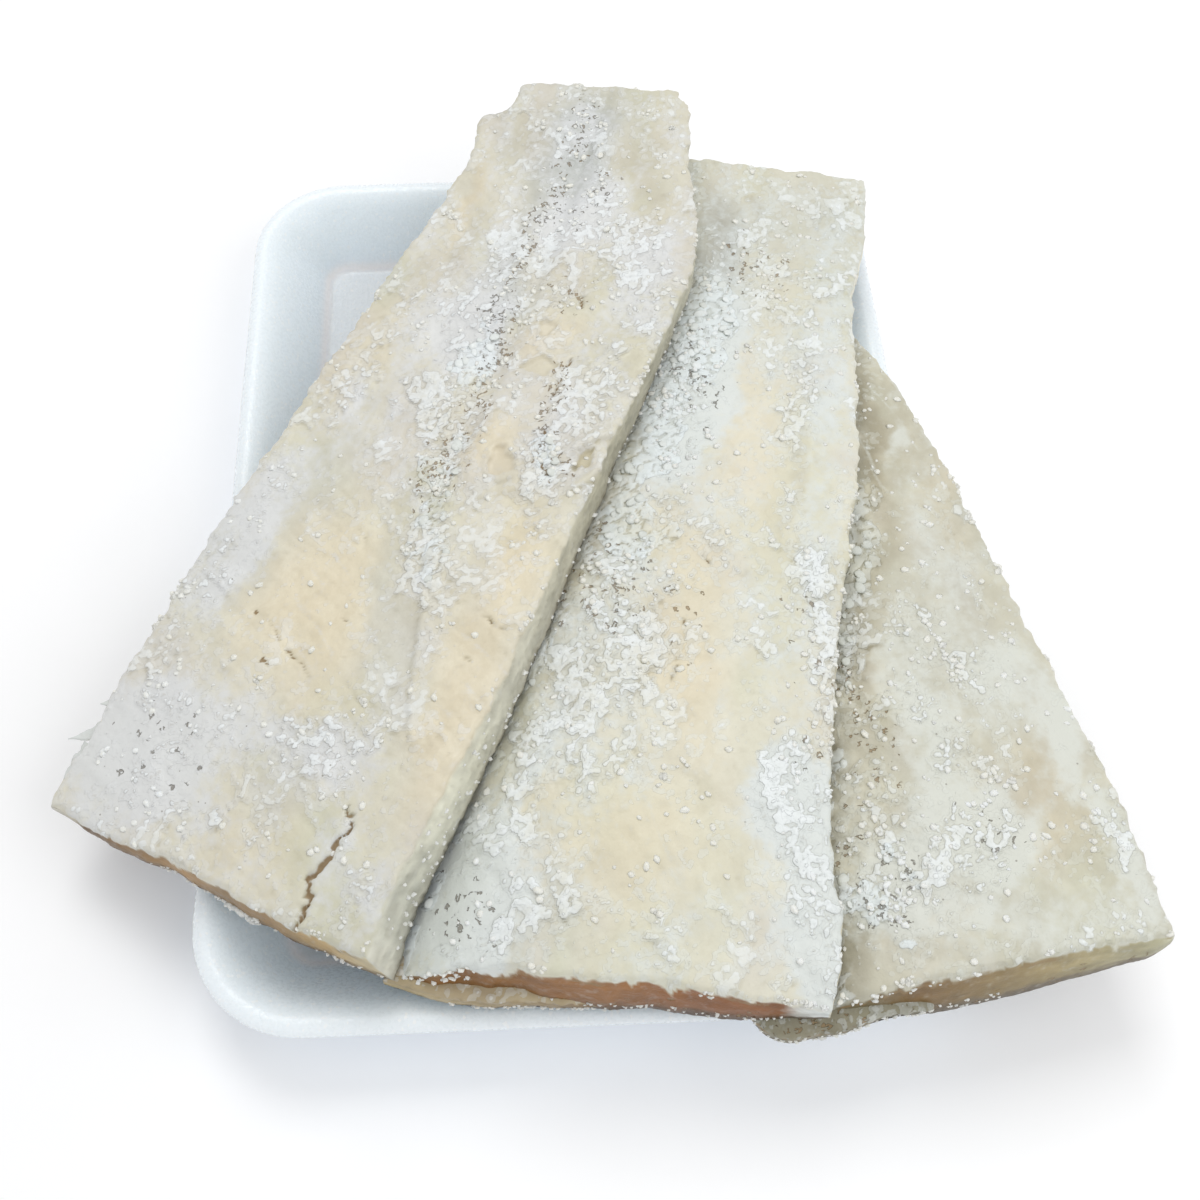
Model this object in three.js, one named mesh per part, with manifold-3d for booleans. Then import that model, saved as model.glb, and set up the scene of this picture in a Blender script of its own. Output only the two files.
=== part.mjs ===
// Dish of cod loin: three salted cod loins fanned out over a white foam tray.
// Millimetres, +Z up. The origin is the middle of the tray's underside, and the tray's
// near short side faces -Y.

import * as THREE from 'three';
import { mergeVertices } from 'three/addons/utils/BufferGeometryUtils.js';
import Module from 'manifold-3d';

const wasm = await Module();
wasm.setup();

// Tray sizes, measured over the outside of its rim
const TRAY_WIDTH = 190;
const TRAY_LENGTH = 265;
const TRAY_CORNER_RADIUS = 27;
const FLOOR_CORNER_RADIUS = 6;
const CORNER_SEGMENTS = 6;

// Section through the tray's side as [inset from the rim's outer edge, height], from the
// underside up the outside, over the rolled rim and down the inside to the floor
const TRAY_SECTION = [
  [23, 0], [19.5, 0.5], [16.5, 2.6], [13, 6.8], [9.5, 11.2], [6.4, 14.8], [3.2, 17.2],
  [0.8, 18.9], [0, 20.3], [0.7, 21.5], [2.4, 22], [4.6, 21.6], [7.4, 19.8], [11, 16],
  [14.5, 11.8], [18, 7.4], [20.6, 4.9], [23, 4],
];

// Spacing of the loins' surface grids, across and along
const TOP_ROWS = 40;
const TOP_COLUMNS = 17;
const UNDER_ROWS = 20;
const UNDER_COLUMNS = 8;
const BORDER = 2.6;

// Thickness at which a side wall takes all of its flare
const FULL_THICKNESS = 15;

// Clearance kept where one piece lies on another, and how far round each point the
// piece beneath is felt for its highest spot
const REST_GAP = 0.45;
const FEEL_RADII = [0, 4.5, 9];
const FEEL_DIRECTIONS = 8;

// Surface character of salted fish
const RAGGED_EDGE = 0.9;
const RAGGED_SCALE = 8;
const EDGE_ROUNDING = 1.3;
const SWELL_HEIGHT = 0.6;
const SWELL_SCALE = 17;
const CRUST_HEIGHT = 0.5;
const CRUST_SCALE = 7;

// Salt lumps large enough to be solid pieces of the crust
const GRAIN_RADIUS = [1.1, 1.9];
const GRAIN_FLATNESS = 0.75;
const GRAIN_SUNK = 0.35;
const GRAIN_COVER_MARGIN = 3.5;

// Each loin is a four-sided slab. Its edges are smooth curves through points of
// [x, y, height of the top, thickness]; near and far run from left to right, and
// left and right run from near to far. Flare pushes the foot of a full-height wall outwards:
// by one distance along the near edge, and by two at the ends of the right edge. The furrow
// is the shallow trough along the lateral line.
const RIGHT_LOIN = {
  name: 'loin_right',
  seed: 11,
  near: [
    [37, -132.5, 25.5, 2.8], [47, -132.5, 29.5, 6.5], [57, -131, 34, 12], [70, -129, 38, 17],
    [81, -128, 40, 18], [99, -125, 40, 16.5], [114, -123, 39, 13], [124, -122, 37, 9.5],
    [129, -121, 36, 4.5],
  ],
  far: [[30, 94, 25, 9], [48, 94, 28, 14], [64, 90, 28, 14]],
  left: [[37, -132.5, 25.5, 2.8], [37, -95, 26, 3], [36, -40, 27, 4], [33, 30, 27, 5], [30, 94, 25, 9]],
  right: [
    [129, -121, 36, 4.5], [125, -98, 38, 10], [121, -77, 38, 12], [111, -39, 37, 14],
    [100, 9, 35.5, 13.5], [92, 36, 33.5, 12], [86.5, 50, 32, 12], [78, 66, 30, 13], [64, 90, 28, 14],
  ],
  flare: { near: 3.8, right: [1.6, 1.6] },
  grains: 43,
};

const MIDDLE_LOIN = {
  name: 'loin_middle',
  seed: 23,
  near: [
    [-47, -121, 27, 3.4], [-42, -122, 31, 6.5], [-30, -122, 39, 14], [-16, -124, 42, 17],
    [12, -128, 42, 16.5], [26, -130, 40, 14.5], [43, -133, 37, 8], [50, -134.5, 35, 3.5],
  ],
  far: [[24, 120, 35, 8], [42, 117, 42, 14], [63, 111, 43.5, 15], [81, 107, 44, 15], [91, 104, 43, 14]],
  left: [
    [-47, -121, 27, 3.4], [-36, -82, 31, 4], [-22, -32, 33, 5], [-6, 20, 34, 6],
    [10, 75, 35, 7], [24, 120, 35, 8],
  ],
  right: [
    [50, -134.5, 35, 3.5], [54, -119, 40, 7], [53.5, -98, 43, 8], [56.5, -77, 45, 9],
    [61, -53, 46, 10], [68, -22, 47, 10], [73, -2, 47, 11], [78.5, 42, 46, 12],
    [83, 66, 45, 13], [87, 78, 44, 13], [90, 90, 43.5, 14], [91, 104, 43, 14],
  ],
  flare: { near: 2.6, right: [0, 0] },
  grains: 47,
};

const LEFT_LOIN = {
  name: 'loin_left',
  seed: 37,
  near: [
    [-131, -76, 25.5, 2.8], [-115, -86, 30, 6], [-99, -93, 33.5, 9], [-88, -100, 35.5, 10],
    [-73, -109, 39, 10.5], [-57, -118, 43, 13.5], [-51, -120, 44, 16],
  ],
  far: [[-10, 139, 53, 12], [1, 138, 54, 13], [20, 134, 56, 14], [36, 130, 57, 14]],
  left: [
    [-131, -76, 25.5, 2.8], [-130, -71, 26, 3], [-123, -61, 28.5, 5], [-115, -44, 31.5, 8.5],
    [-97, -9, 34.5, 11.5], [-80, 21, 38, 12], [-53, 69, 43, 12], [-30, 107, 48, 12],
    [-24, 121, 50, 12], [-22.5, 127, 51, 12], [-15, 129, 52, 12], [-10, 139, 53, 12],
  ],
  right: [
    [-51, -120, 44, 16], [-44, -105, 50, 16], [-31, -84, 55, 16], [-18, -59, 57, 16],
    [0, -18, 58, 15.5], [19, 23, 58, 15], [36, 65, 58, 14.5], [37.5, 100, 57, 14],
    [39, 122, 57, 14], [36, 130, 57, 14],
  ],
  flare: { near: 2, right: [4.5, -2.5] },
  furrow: { path: [[15, 130], [-8, 62], [-37, -10]], depth: 1.3, width: 3 },
  grains: 47,
};

// The split in the left loin's near edge, as [x, y, width], and how deep it goes
const SPLIT = [
  [-67, -116, 2.4], [-64, -107, 1.9], [-64.5, -103.5, 1.3], [-59, -98.5, 1.3], [-55.5, -93, 0.4],
];
const SPLIT_DEPTH = 4.5;

// Torn white shreds on the left loin's outer edge, as [x, y, height, length, direction in degrees]
const SHREDS = [[-118.5, -52, 28, 5.5, 165], [-123.5, -61, 26.2, 8, 178], [-111, -38, 29.5, 4, 165]];
const SHRED_RADIUS = 2.6;
const SHRED_FLATNESS = 0.35;

// Rounded lumps as [x, y, z, half width, half depth, half height]: the drooping corner under
// the right loin and the salt clumps under the left loin's near edge
const CORNER_LUMPS = [
  [44, -136.6, 21.6, 8, 3, 5.2], [54, -136.2, 23.6, 6, 2.7, 4], [62.5, -135.4, 25.6, 6, 2.4, 3.2],
  [37.5, -135.6, 24, 3.2, 2.2, 2.4],
];
const EDGE_LUMPS = [
  [-80, -105.5, 28, 3.2, 2, 2.2], [-74, -108.4, 29, 3, 2, 2], [-69, -110.6, 29.6, 2.4, 1.8, 2],
];

// The flap of skin that lies over the tray's rim at the middle loin's near-left corner
const SKIN_FLAP = {
  seed: 5,
  near: [[-48, -122.5, 25.8, 1.6], [-36, -126.5, 25.2, 2], [-22, -128, 25.4, 2.2], [-10, -128.5, 26, 2.4]],
  far: [[-44, -117, 27, 1.6], [-34, -118, 28, 3], [-22, -119, 28, 3], [-12, -120, 28, 3]],
  left: [[-48, -122.5, 25.8, 1.6], [-44, -117, 27, 1.6]],
  right: [[-10, -128.5, 26, 2.4], [-12, -120, 28, 3]],
};

const COLOURS = { tray: '#eef0f6', fish: '#e3dfd0' };

// Seeded random numbers from 0 to 1
function randomSource(seed) {
  let state = seed;
  return () => {
    state = (state + 0x6d2b79f5) | 0;
    let mixed = Math.imul(state ^ (state >>> 15), 1 | state);
    mixed = (mixed + Math.imul(mixed ^ (mixed >>> 7), 61 | mixed)) ^ mixed;
    return ((mixed ^ (mixed >>> 14)) >>> 0) / 4294967296;
  };
}

// Smooth noise from -1 to 1 over the plane, one feature to each unit square
function noise(x, y, seed) {
  const corner = (column, row) => {
    let mixed = Math.imul(column, 374761393) + Math.imul(row, 668265263) + Math.imul(seed, 974634777);
    mixed = Math.imul(mixed ^ (mixed >>> 13), 1274126177);
    return ((mixed ^ (mixed >>> 16)) >>> 0) / 2147483648 - 1;
  };
  const column = Math.floor(x);
  const row = Math.floor(y);
  const across = THREE.MathUtils.smoothstep(x - column, 0, 1);
  const along = THREE.MathUtils.smoothstep(y - row, 0, 1);
  const near = THREE.MathUtils.lerp(corner(column, row), corner(column + 1, row), across);
  const far = THREE.MathUtils.lerp(corner(column, row + 1), corner(column + 1, row + 1), across);
  return THREE.MathUtils.lerp(near, far, along);
}

// Point at a share of the length of a smooth curve through points of any dimension
function along(points, share) {
  const lengths = [0];
  for (let i = 1; i < points.length; i += 1) {
    const step = Math.hypot(points[i][0] - points[i - 1][0], points[i][1] - points[i - 1][1]);
    lengths.push(lengths[i - 1] + step);
  }
  const target = share * lengths[lengths.length - 1];
  let span = 0;
  while (span < points.length - 2 && lengths[span + 1] < target) span += 1;
  const width = lengths[span + 1] - lengths[span];
  const t = (target - lengths[span]) / width;
  const slope = (i, axis) => {
    const before = Math.max(i - 1, 0);
    const after = Math.min(i + 1, points.length - 1);
    return (points[after][axis] - points[before][axis]) / (lengths[after] - lengths[before]);
  };
  return points[0].map((_, axis) => {
    const start = points[span][axis];
    const end = points[span + 1][axis];
    const startSlope = slope(span, axis) * width;
    const endSlope = slope(span + 1, axis) * width;
    const cubic = 2 * (start - end) + startSlope + endSlope;
    const square = 3 * (end - start) - 2 * startSlope - endSlope;
    return start + t * (startSlope + t * (square + t * cubic));
  });
}

// Point inside a slab's four edges: u runs from near to far, v from left to right
function patch(slab, u, v) {
  const [near, far, left, right] = [
    along(slab.near, v), along(slab.far, v), along(slab.left, u), along(slab.right, u),
  ];
  const [nearLeft, nearRight] = [slab.near[0], slab.near[slab.near.length - 1]];
  const [farLeft, farRight] = [slab.far[0], slab.far[slab.far.length - 1]];
  return near.map((_, axis) => {
    const ends = near[axis] * (1 - u) + far[axis] * u;
    const sides = left[axis] * (1 - v) + right[axis] * v;
    const nearCorners = nearLeft[axis] * (1 - v) + nearRight[axis] * v;
    const farCorners = farLeft[axis] * (1 - v) + farRight[axis] * v;
    return ends + sides - nearCorners * (1 - u) - farCorners * u;
  });
}

// The patch with its torn edges: a small sideways shift that changes from place to place
function raggedPatch(slab, u, v) {
  const [x, y, top, thickness] = patch(slab, u, v);
  const shiftX = RAGGED_EDGE * noise(x / RAGGED_SCALE, y / RAGGED_SCALE, slab.seed);
  const shiftY = RAGGED_EDGE * noise(x / RAGGED_SCALE, y / RAGGED_SCALE, slab.seed + 1);
  return [x + shiftX, y + shiftY, top, thickness];
}

// Depth at a place of the furrow that runs down a loin's lateral line
function furrowDepth({ path, depth, width }, x, y) {
  let nearest = Infinity;
  for (let i = 1; i < path.length; i += 1) {
    const stretch = new THREE.Line3(new THREE.Vector3(...path[i - 1], 0), new THREE.Vector3(...path[i], 0));
    const closest = stretch.closestPointToPoint(new THREE.Vector3(x, y, 0), true, new THREE.Vector3());
    nearest = Math.min(nearest, Math.hypot(closest.x - x, closest.y - y));
  }
  return depth * Math.exp(-((nearest / width) ** 2));
}

// Rise and fall of the salt-crusted top
function relief(slab, x, y) {
  const swell = SWELL_HEIGHT * noise(x / SWELL_SCALE, y / SWELL_SCALE, slab.seed + 2);
  const crust = CRUST_HEIGHT * noise(x / CRUST_SCALE, y / CRUST_SCALE, slab.seed + 3);
  return swell + crust - (slab.furrow ? furrowDepth(slab.furrow, x, y) : 0);
}

// Grid lines from 0 to 1 with one close to each end, to turn the edge over
function gridLines(count, border) {
  const lines = [0];
  for (let i = 0; i <= count - 2; i += 1) {
    lines.push(border + (1 - 2 * border) * (i / (count - 2)));
  }
  lines.push(1);
  return lines;
}

// Point on the top of a slab; its border is rounded over
function topPoint(slab, u, v) {
  const [x, y, top, thickness] = raggedPatch(slab, u, v);
  const onBorder = u === 0 || u === 1 || v === 0 || v === 1;
  const drop = onBorder ? Math.min(EDGE_ROUNDING, thickness * 0.3) : 0;
  return [x, y, top + relief(slab, x, y) - drop];
}

// Height of the highest of the given meshes around a place, or minus infinity beside them
const downwards = new THREE.Raycaster();
function supportHeight(meshes, x, y) {
  let highest = -Infinity;
  for (const reach of FEEL_RADII) {
    for (let i = 0; i < FEEL_DIRECTIONS; i += 1) {
      const angle = (i * 2 * Math.PI) / FEEL_DIRECTIONS;
      const origin = new THREE.Vector3(x + reach * Math.cos(angle), y + reach * Math.sin(angle), 200);
      downwards.set(origin, new THREE.Vector3(0, 0, -1));
      for (const hit of downwards.intersectObjects(meshes)) {
        highest = Math.max(highest, hit.point.z);
      }
    }
  }
  return highest;
}

// Point on the underside of a slab, lifted to lie on what is beneath it
function underPoint(slab, supports, u, v) {
  const [x, y, top, thickness] = raggedPatch(slab, u, v);
  const flare = slab.flare ?? { near: 0, right: [0, 0] };
  const share = thickness / FULL_THICKNESS;
  const footX = x + share * THREE.MathUtils.lerp(flare.right[0], flare.right[1], u) * v ** 6;
  const footY = y - share * flare.near * (1 - u) ** 24;
  const own = top - thickness;
  const rest = supportHeight(supports, footX, footY) + REST_GAP;
  return [footX, footY, Math.max(own, Math.min(rest, top - EDGE_ROUNDING - 0.8))];
}

// Closed slab: a fine top, a coarser underside and walls stitched between their borders
function slabGeometry(slab, supports, rows, columns, underRows, underColumns) {
  const depth = Math.hypot(slab.far[0][0] - slab.near[0][0], slab.far[0][1] - slab.near[0][1]);
  const last = slab.near[slab.near.length - 1];
  const span = Math.hypot(last[0] - slab.near[0][0], last[1] - slab.near[0][1]);
  const topU = gridLines(rows, Math.min(BORDER / depth, 0.3));
  const topV = gridLines(columns, Math.min(BORDER / span, 0.3));
  const underU = gridLines(underRows, 1 / underRows);
  const underV = gridLines(underColumns, 1 / underColumns);
  const positions = [];
  const indices = [];

  const addGrid = (uLines, vLines, place, faceUp) => {
    const start = positions.length / 3;
    const index = (i, j) => start + i * vLines.length + j;
    for (const u of uLines) {
      for (const v of vLines) positions.push(...place(u, v));
    }
    for (let i = 0; i < uLines.length - 1; i += 1) {
      for (let j = 0; j < vLines.length - 1; j += 1) {
        const corners = [index(i, j), index(i, j + 1), index(i + 1, j + 1), index(i + 1, j)];
        if (!faceUp) corners.reverse();
        indices.push(corners[0], corners[1], corners[2], corners[0], corners[2], corners[3]);
      }
    }
    return index;
  };
  const top = addGrid(topU, topV, (u, v) => topPoint(slab, u, v), true);
  const under = addGrid(underU, underV, (u, v) => underPoint(slab, supports, u, v), false);

  // A wall between two borders that share their end parameters but not their spacing
  const stitch = (upper, upperLines, lower, lowerLines) => {
    let i = 0;
    let j = 0;
    while (i < upperLines.length - 1 || j < lowerLines.length - 1) {
      const nextUpper = i < upperLines.length - 1 ? upperLines[i + 1] : Infinity;
      const nextLower = j < lowerLines.length - 1 ? lowerLines[j + 1] : Infinity;
      if (nextUpper <= nextLower) {
        indices.push(upper(i), lower(j), upper(i + 1));
        i += 1;
      } else {
        indices.push(upper(i), lower(j), lower(j + 1));
        j += 1;
      }
    }
  };
  const reversed = (lines) => lines.map((line) => 1 - line).reverse();
  const topEnd = [topU.length - 1, topV.length - 1];
  const underEnd = [underU.length - 1, underV.length - 1];
  stitch((i) => top(0, i), topV, (i) => under(0, i), underV);
  stitch((i) => top(i, topEnd[1]), topU, (i) => under(i, underEnd[1]), underU);
  stitch(
    (i) => top(topEnd[0], topEnd[1] - i), reversed(topV),
    (i) => under(underEnd[0], underEnd[1] - i), reversed(underV),
  );
  stitch(
    (i) => top(topEnd[0] - i, 0), reversed(topU),
    (i) => under(underEnd[0] - i, 0), reversed(underU),
  );

  const geometry = new THREE.BufferGeometry();
  geometry.setAttribute('position', new THREE.Float32BufferAttribute(positions, 3));
  geometry.setIndex(indices);
  return geometry;
}

// A solid for manifold-3d from a closed three.js geometry
function solidOf(geometry) {
  const bare = geometry.clone();
  bare.deleteAttribute('normal');
  bare.deleteAttribute('uv');
  const merged = mergeVertices(bare, 1e-4);
  return new wasm.Manifold(new wasm.Mesh({
    numProp: 3,
    vertProperties: new Float32Array(merged.getAttribute('position').array),
    triVerts: new Uint32Array(merged.getIndex().array),
  }));
}

// A three.js geometry from a solid
function geometryOf(solid) {
  const { vertProperties, triVerts } = solid.getMesh();
  const geometry = new THREE.BufferGeometry();
  geometry.setAttribute('position', new THREE.BufferAttribute(new Float32Array(vertProperties), 3));
  geometry.setIndex(new THREE.BufferAttribute(new Uint32Array(triVerts), 1));
  geometry.computeVertexNormals();
  return geometry;
}

// An irregular lump: a twenty-sided ball with each corner pushed in or out
function lump(centre, halfSizes, random, detail = 0) {
  const corners = new THREE.IcosahedronGeometry(1, detail).deleteAttribute('normal').deleteAttribute('uv');
  const ball = mergeVertices(corners);
  const position = ball.getAttribute('position');
  const turn = new THREE.Euler(random() * 6, random() * 6, random() * 6);
  for (let i = 0; i < position.count; i += 1) {
    const corner = new THREE.Vector3().fromBufferAttribute(position, i).applyEuler(turn);
    corner.multiplyScalar(0.85 + 0.3 * random());
    corner.multiply(new THREE.Vector3(...halfSizes)).add(new THREE.Vector3(...centre));
    position.setXYZ(i, corner.x, corner.y, corner.z);
  }
  return solidOf(ball);
}

// A thin pointed shred that starts inside the loin and leans out
function shred([x, y, z, length, direction]) {
  const cone = new THREE.ConeGeometry(SHRED_RADIUS, length * 1.6, 6);
  cone.rotateZ(-Math.PI / 2);
  cone.scale(1, 1, SHRED_FLATNESS);
  cone.rotateZ(THREE.MathUtils.degToRad(direction));
  cone.translate(x, y, z);
  return solidOf(cone);
}

// The wedge cut out for the split, from below its floor to above the loin's top
function splitWedge(top) {
  const sides = SPLIT.map(([x, y, width], i) => {
    const ahead = SPLIT[Math.min(i + 1, SPLIT.length - 1)];
    const behind = SPLIT[Math.max(i - 1, 0)];
    const direction = new THREE.Vector2(ahead[0] - behind[0], ahead[1] - behind[1]).normalize();
    const across = new THREE.Vector2(-direction.y, direction.x).multiplyScalar(width / 2);
    return [new THREE.Vector2(x, y).add(across), new THREE.Vector2(x, y).sub(across)];
  });
  const outline = [...sides.map(([first]) => first), ...sides.map(([, second]) => second).reverse()];
  const wedge = new THREE.ExtrudeGeometry(new THREE.Shape(outline), { depth: 14, bevelEnabled: false });
  wedge.translate(0, 0, top - SPLIT_DEPTH);
  return solidOf(wedge);
}

// Whether a place lies under one of the loins that rest on top, with a margin round them
function covered(slabs, x, y) {
  return slabs.some((slab) => {
    const outline = [];
    const steps = 24;
    for (let i = 0; i < steps; i += 1) outline.push(along(slab.near, i / steps));
    for (let i = 0; i < steps; i += 1) outline.push(along(slab.right, i / steps));
    for (let i = 0; i < steps; i += 1) outline.push(along(slab.far, 1 - i / steps));
    for (let i = 0; i < steps; i += 1) outline.push(along(slab.left, 1 - i / steps));
    let inside = false;
    let nearest = Infinity;
    outline.forEach(([endX, endY], i) => {
      const [startX, startY] = outline[(i + outline.length - 1) % outline.length];
      const crosses = (startY > y) !== (endY > y);
      if (crosses && x < startX + ((y - startY) * (endX - startX)) / (endY - startY)) inside = !inside;
      nearest = Math.min(nearest, Math.hypot(endX - x, endY - y));
    });
    return inside || nearest < GRAIN_COVER_MARGIN;
  });
}

// Salt grains spread evenly over the part of the top that isn't covered: each new grain takes
// the candidate place farthest from the grains already there
function saltGrains(slab, above) {
  const random = randomSource(slab.seed);
  const places = [];
  while (places.length < slab.grains) {
    let best = null;
    let bestDistance = -1;
    for (let i = 0; i < 12; i += 1) {
      const u = 0.02 + 0.96 * random();
      const v = 0.04 + 0.92 * random();
      const [x, y, top] = raggedPatch(slab, u, v);
      if (covered(above, x, y)) continue;
      const distance = Math.min(...places.map((place) => Math.hypot(place[0] - x, place[1] - y)), 1e3);
      if (distance > bestDistance) {
        bestDistance = distance;
        best = [x, y, top + relief(slab, x, y)];
      }
    }
    if (best) places.push(best);
  }
  return places.map(([x, y, z]) => {
    const radius = THREE.MathUtils.lerp(GRAIN_RADIUS[0], GRAIN_RADIUS[1], random() ** 1.5);
    const height = radius * GRAIN_FLATNESS;
    return lump([x, y, z + height * (1 - 2 * GRAIN_SUNK)], [radius, radius, height], random);
  });
}

// One closed ring of the tray: a rectangle with round corners
function trayRing(inset, height) {
  const radius = Math.max(TRAY_CORNER_RADIUS - inset, FLOOR_CORNER_RADIUS);
  const halfWidth = TRAY_WIDTH / 2 - inset - radius;
  const halfLength = TRAY_LENGTH / 2 - inset - radius;
  const corners = [[1, -1], [1, 1], [-1, 1], [-1, -1]];
  const ring = [];
  corners.forEach(([sideX, sideY], corner) => {
    for (let i = 0; i <= CORNER_SEGMENTS; i += 1) {
      const angle = (corner - 1 + i / CORNER_SEGMENTS) * (Math.PI / 2);
      ring.push([
        sideX * halfWidth + radius * Math.cos(angle),
        sideY * halfLength + radius * Math.sin(angle),
        height,
      ]);
    }
  });
  return ring;
}

// The tray: rings lofted along its section and closed at the middle of both faces
function trayGeometry() {
  const rings = TRAY_SECTION.map(([inset, height]) => trayRing(inset, height));
  const count = rings[0].length;
  const positions = rings.flat(2);
  const indices = [];
  for (let ring = 0; ring < rings.length - 1; ring += 1) {
    for (let i = 0; i < count; i += 1) {
      const next = (i + 1) % count;
      const [a, b] = [ring * count + i, ring * count + next];
      indices.push(a, b, b + count, a, b + count, a + count);
    }
  }
  const firstMiddle = positions.length / 3;
  const lastRing = (rings.length - 1) * count;
  positions.push(0, 0, TRAY_SECTION[0][1]);
  positions.push(0, 0, TRAY_SECTION[TRAY_SECTION.length - 1][1]);
  for (let i = 0; i < count; i += 1) {
    const next = (i + 1) % count;
    indices.push(firstMiddle, next, i);
    indices.push(firstMiddle + 1, lastRing + i, lastRing + next);
  }
  const geometry = new THREE.BufferGeometry();
  geometry.setAttribute('position', new THREE.Float32BufferAttribute(positions, 3));
  geometry.setIndex(indices);
  geometry.computeVertexNormals();
  return geometry;
}

// A named mesh with its own matt material
function piece(name, geometry, colour, roughness) {
  const material = new THREE.MeshStandardMaterial({ color: colour, roughness, metalness: 0 });
  const mesh = new THREE.Mesh(geometry, material);
  mesh.name = name;
  mesh.updateMatrixWorld();
  return mesh;
}

// The bare slab of a loin, before anything is joined to it
function bareLoin(slab, supports) {
  const geometry = slabGeometry(slab, supports, TOP_ROWS, TOP_COLUMNS, UNDER_ROWS, UNDER_COLUMNS);
  return piece(slab.name, geometry, COLOURS.fish, 0.62);
}

const group = new THREE.Group();
group.name = 'dish_of_cod_loin';
const tray = piece('tray', trayGeometry(), COLOURS.tray, 0.55);
group.add(tray);

const bareRight = bareLoin(RIGHT_LOIN, [tray]);
const bareMiddle = bareLoin(MIDDLE_LOIN, [tray, bareRight]);
const bareLeft = bareLoin(LEFT_LOIN, [tray, bareRight, bareMiddle]);

const lumps = (places, seed, detail) => places.map((place, i) => (
  lump(place.slice(0, 3), place.slice(3), randomSource(seed + i), detail)
));
const joined = {
  loin_right: lumps(CORNER_LUMPS, 60, 1),
  loin_middle: [solidOf(slabGeometry(SKIN_FLAP, [tray], 4, 10, 4, 8))],
  loin_left: [...lumps(EDGE_LUMPS, 80, 0), ...SHREDS.map(shred)],
};
const layers = [
  [RIGHT_LOIN, bareRight, [MIDDLE_LOIN, LEFT_LOIN]],
  [MIDDLE_LOIN, bareMiddle, [LEFT_LOIN]],
  [LEFT_LOIN, bareLeft, []],
];
for (const [slab, bare, above] of layers) {
  let solid = solidOf(bare.geometry);
  if (slab === LEFT_LOIN) {
    const nearSplit = raggedPatch(slab, 0.05, 0.82);
    solid = solid.subtract(splitWedge(nearSplit[2]));
  }
  for (const addition of [...joined[slab.name], ...saltGrains(slab, above)]) {
    solid = solid.add(addition);
  }
  bare.geometry = geometryOf(solid);
  group.add(bare);
}

export default group;
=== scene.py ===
"""Looks of the dish of cod loin: three salted loins fanned out over a white foam tray.

Every size in the classes is in millimetres in the frame of the CAD model, with the middle of
the tray's underside at the origin. Meshes are written in metres.
"""

from __future__ import annotations

import logging
import math
from dataclasses import dataclass, field
from enum import Enum

import bmesh
import bpy
import numpy as np
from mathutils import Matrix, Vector
from mathutils.bvhtree import BVHTree


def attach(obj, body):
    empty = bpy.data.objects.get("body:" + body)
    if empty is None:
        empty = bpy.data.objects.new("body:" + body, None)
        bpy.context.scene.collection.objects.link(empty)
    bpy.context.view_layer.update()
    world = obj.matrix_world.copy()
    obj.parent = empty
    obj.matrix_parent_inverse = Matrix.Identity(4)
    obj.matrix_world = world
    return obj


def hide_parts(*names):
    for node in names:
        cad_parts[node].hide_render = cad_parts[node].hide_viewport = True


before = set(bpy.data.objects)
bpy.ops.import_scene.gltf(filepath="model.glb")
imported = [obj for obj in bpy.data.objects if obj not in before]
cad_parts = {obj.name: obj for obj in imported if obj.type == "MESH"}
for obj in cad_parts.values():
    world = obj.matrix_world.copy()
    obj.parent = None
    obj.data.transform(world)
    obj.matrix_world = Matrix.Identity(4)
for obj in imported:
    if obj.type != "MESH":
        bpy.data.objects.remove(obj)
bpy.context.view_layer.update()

LOG = logging.getLogger("cod_loin_dish")
MM = 0.001
Array = np.ndarray
Random = np.random.Generator
Triple = tuple[float, float, float]
Colour = Triple
Span = tuple[float, float]
Rows = list[list[float]]
Socket = bpy.types.NodeSocket
Feeds = dict[str | int, object]


# ---- numbers and noise


def linear(red: int, green: int, blue: int) -> Colour:
    """Turns an 8-bit screen colour into linear light.

    Args:
        red: red from 0 to 255.
        green: green from 0 to 255.
        blue: blue from 0 to 255.

    Returns:
        The three values in linear light, from 0 to 1.
    """
    shares = [value / 255 for value in (red, green, blue)]
    return tuple(
        share / 12.92 if share <= 0.04045 else ((share + 0.055) / 1.055) ** 2.4
        for share in shares
    )


def smooth(low: float, high: float, value: Array | float) -> Array:
    """Smooth step from 0 at low to 1 at high."""
    share = np.clip((value - low) / (high - low), 0, 1)
    return share * share * (3 - 2 * share)


def rotated(x: Array, y: Array, angle: float | Array) -> tuple[Array, Array]:
    """Places read off axes that are turned anticlockwise by an angle in radians."""
    cos, sin = np.cos(angle), np.sin(angle)
    return x * cos + y * sin, y * cos - x * sin


def corner_value(column: Array, row: Array, seed: int) -> Array:
    """Fixed pseudo-random number for a corner of the noise lattice.

    Args:
        column: whole-number column.
        row: whole-number row.
        seed: which lattice.

    Returns:
        Numbers from -1 to 1.
    """
    bits = (column * 374761393 + row * 668265263 + seed * 974634777) & 0xFFFFFFFF
    bits = ((bits ^ (bits >> 13)) * 1274126177) & 0xFFFFFFFF
    return ((bits ^ (bits >> 16)) & 0xFFFFFFFF) / 2147483648 - 1


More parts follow.
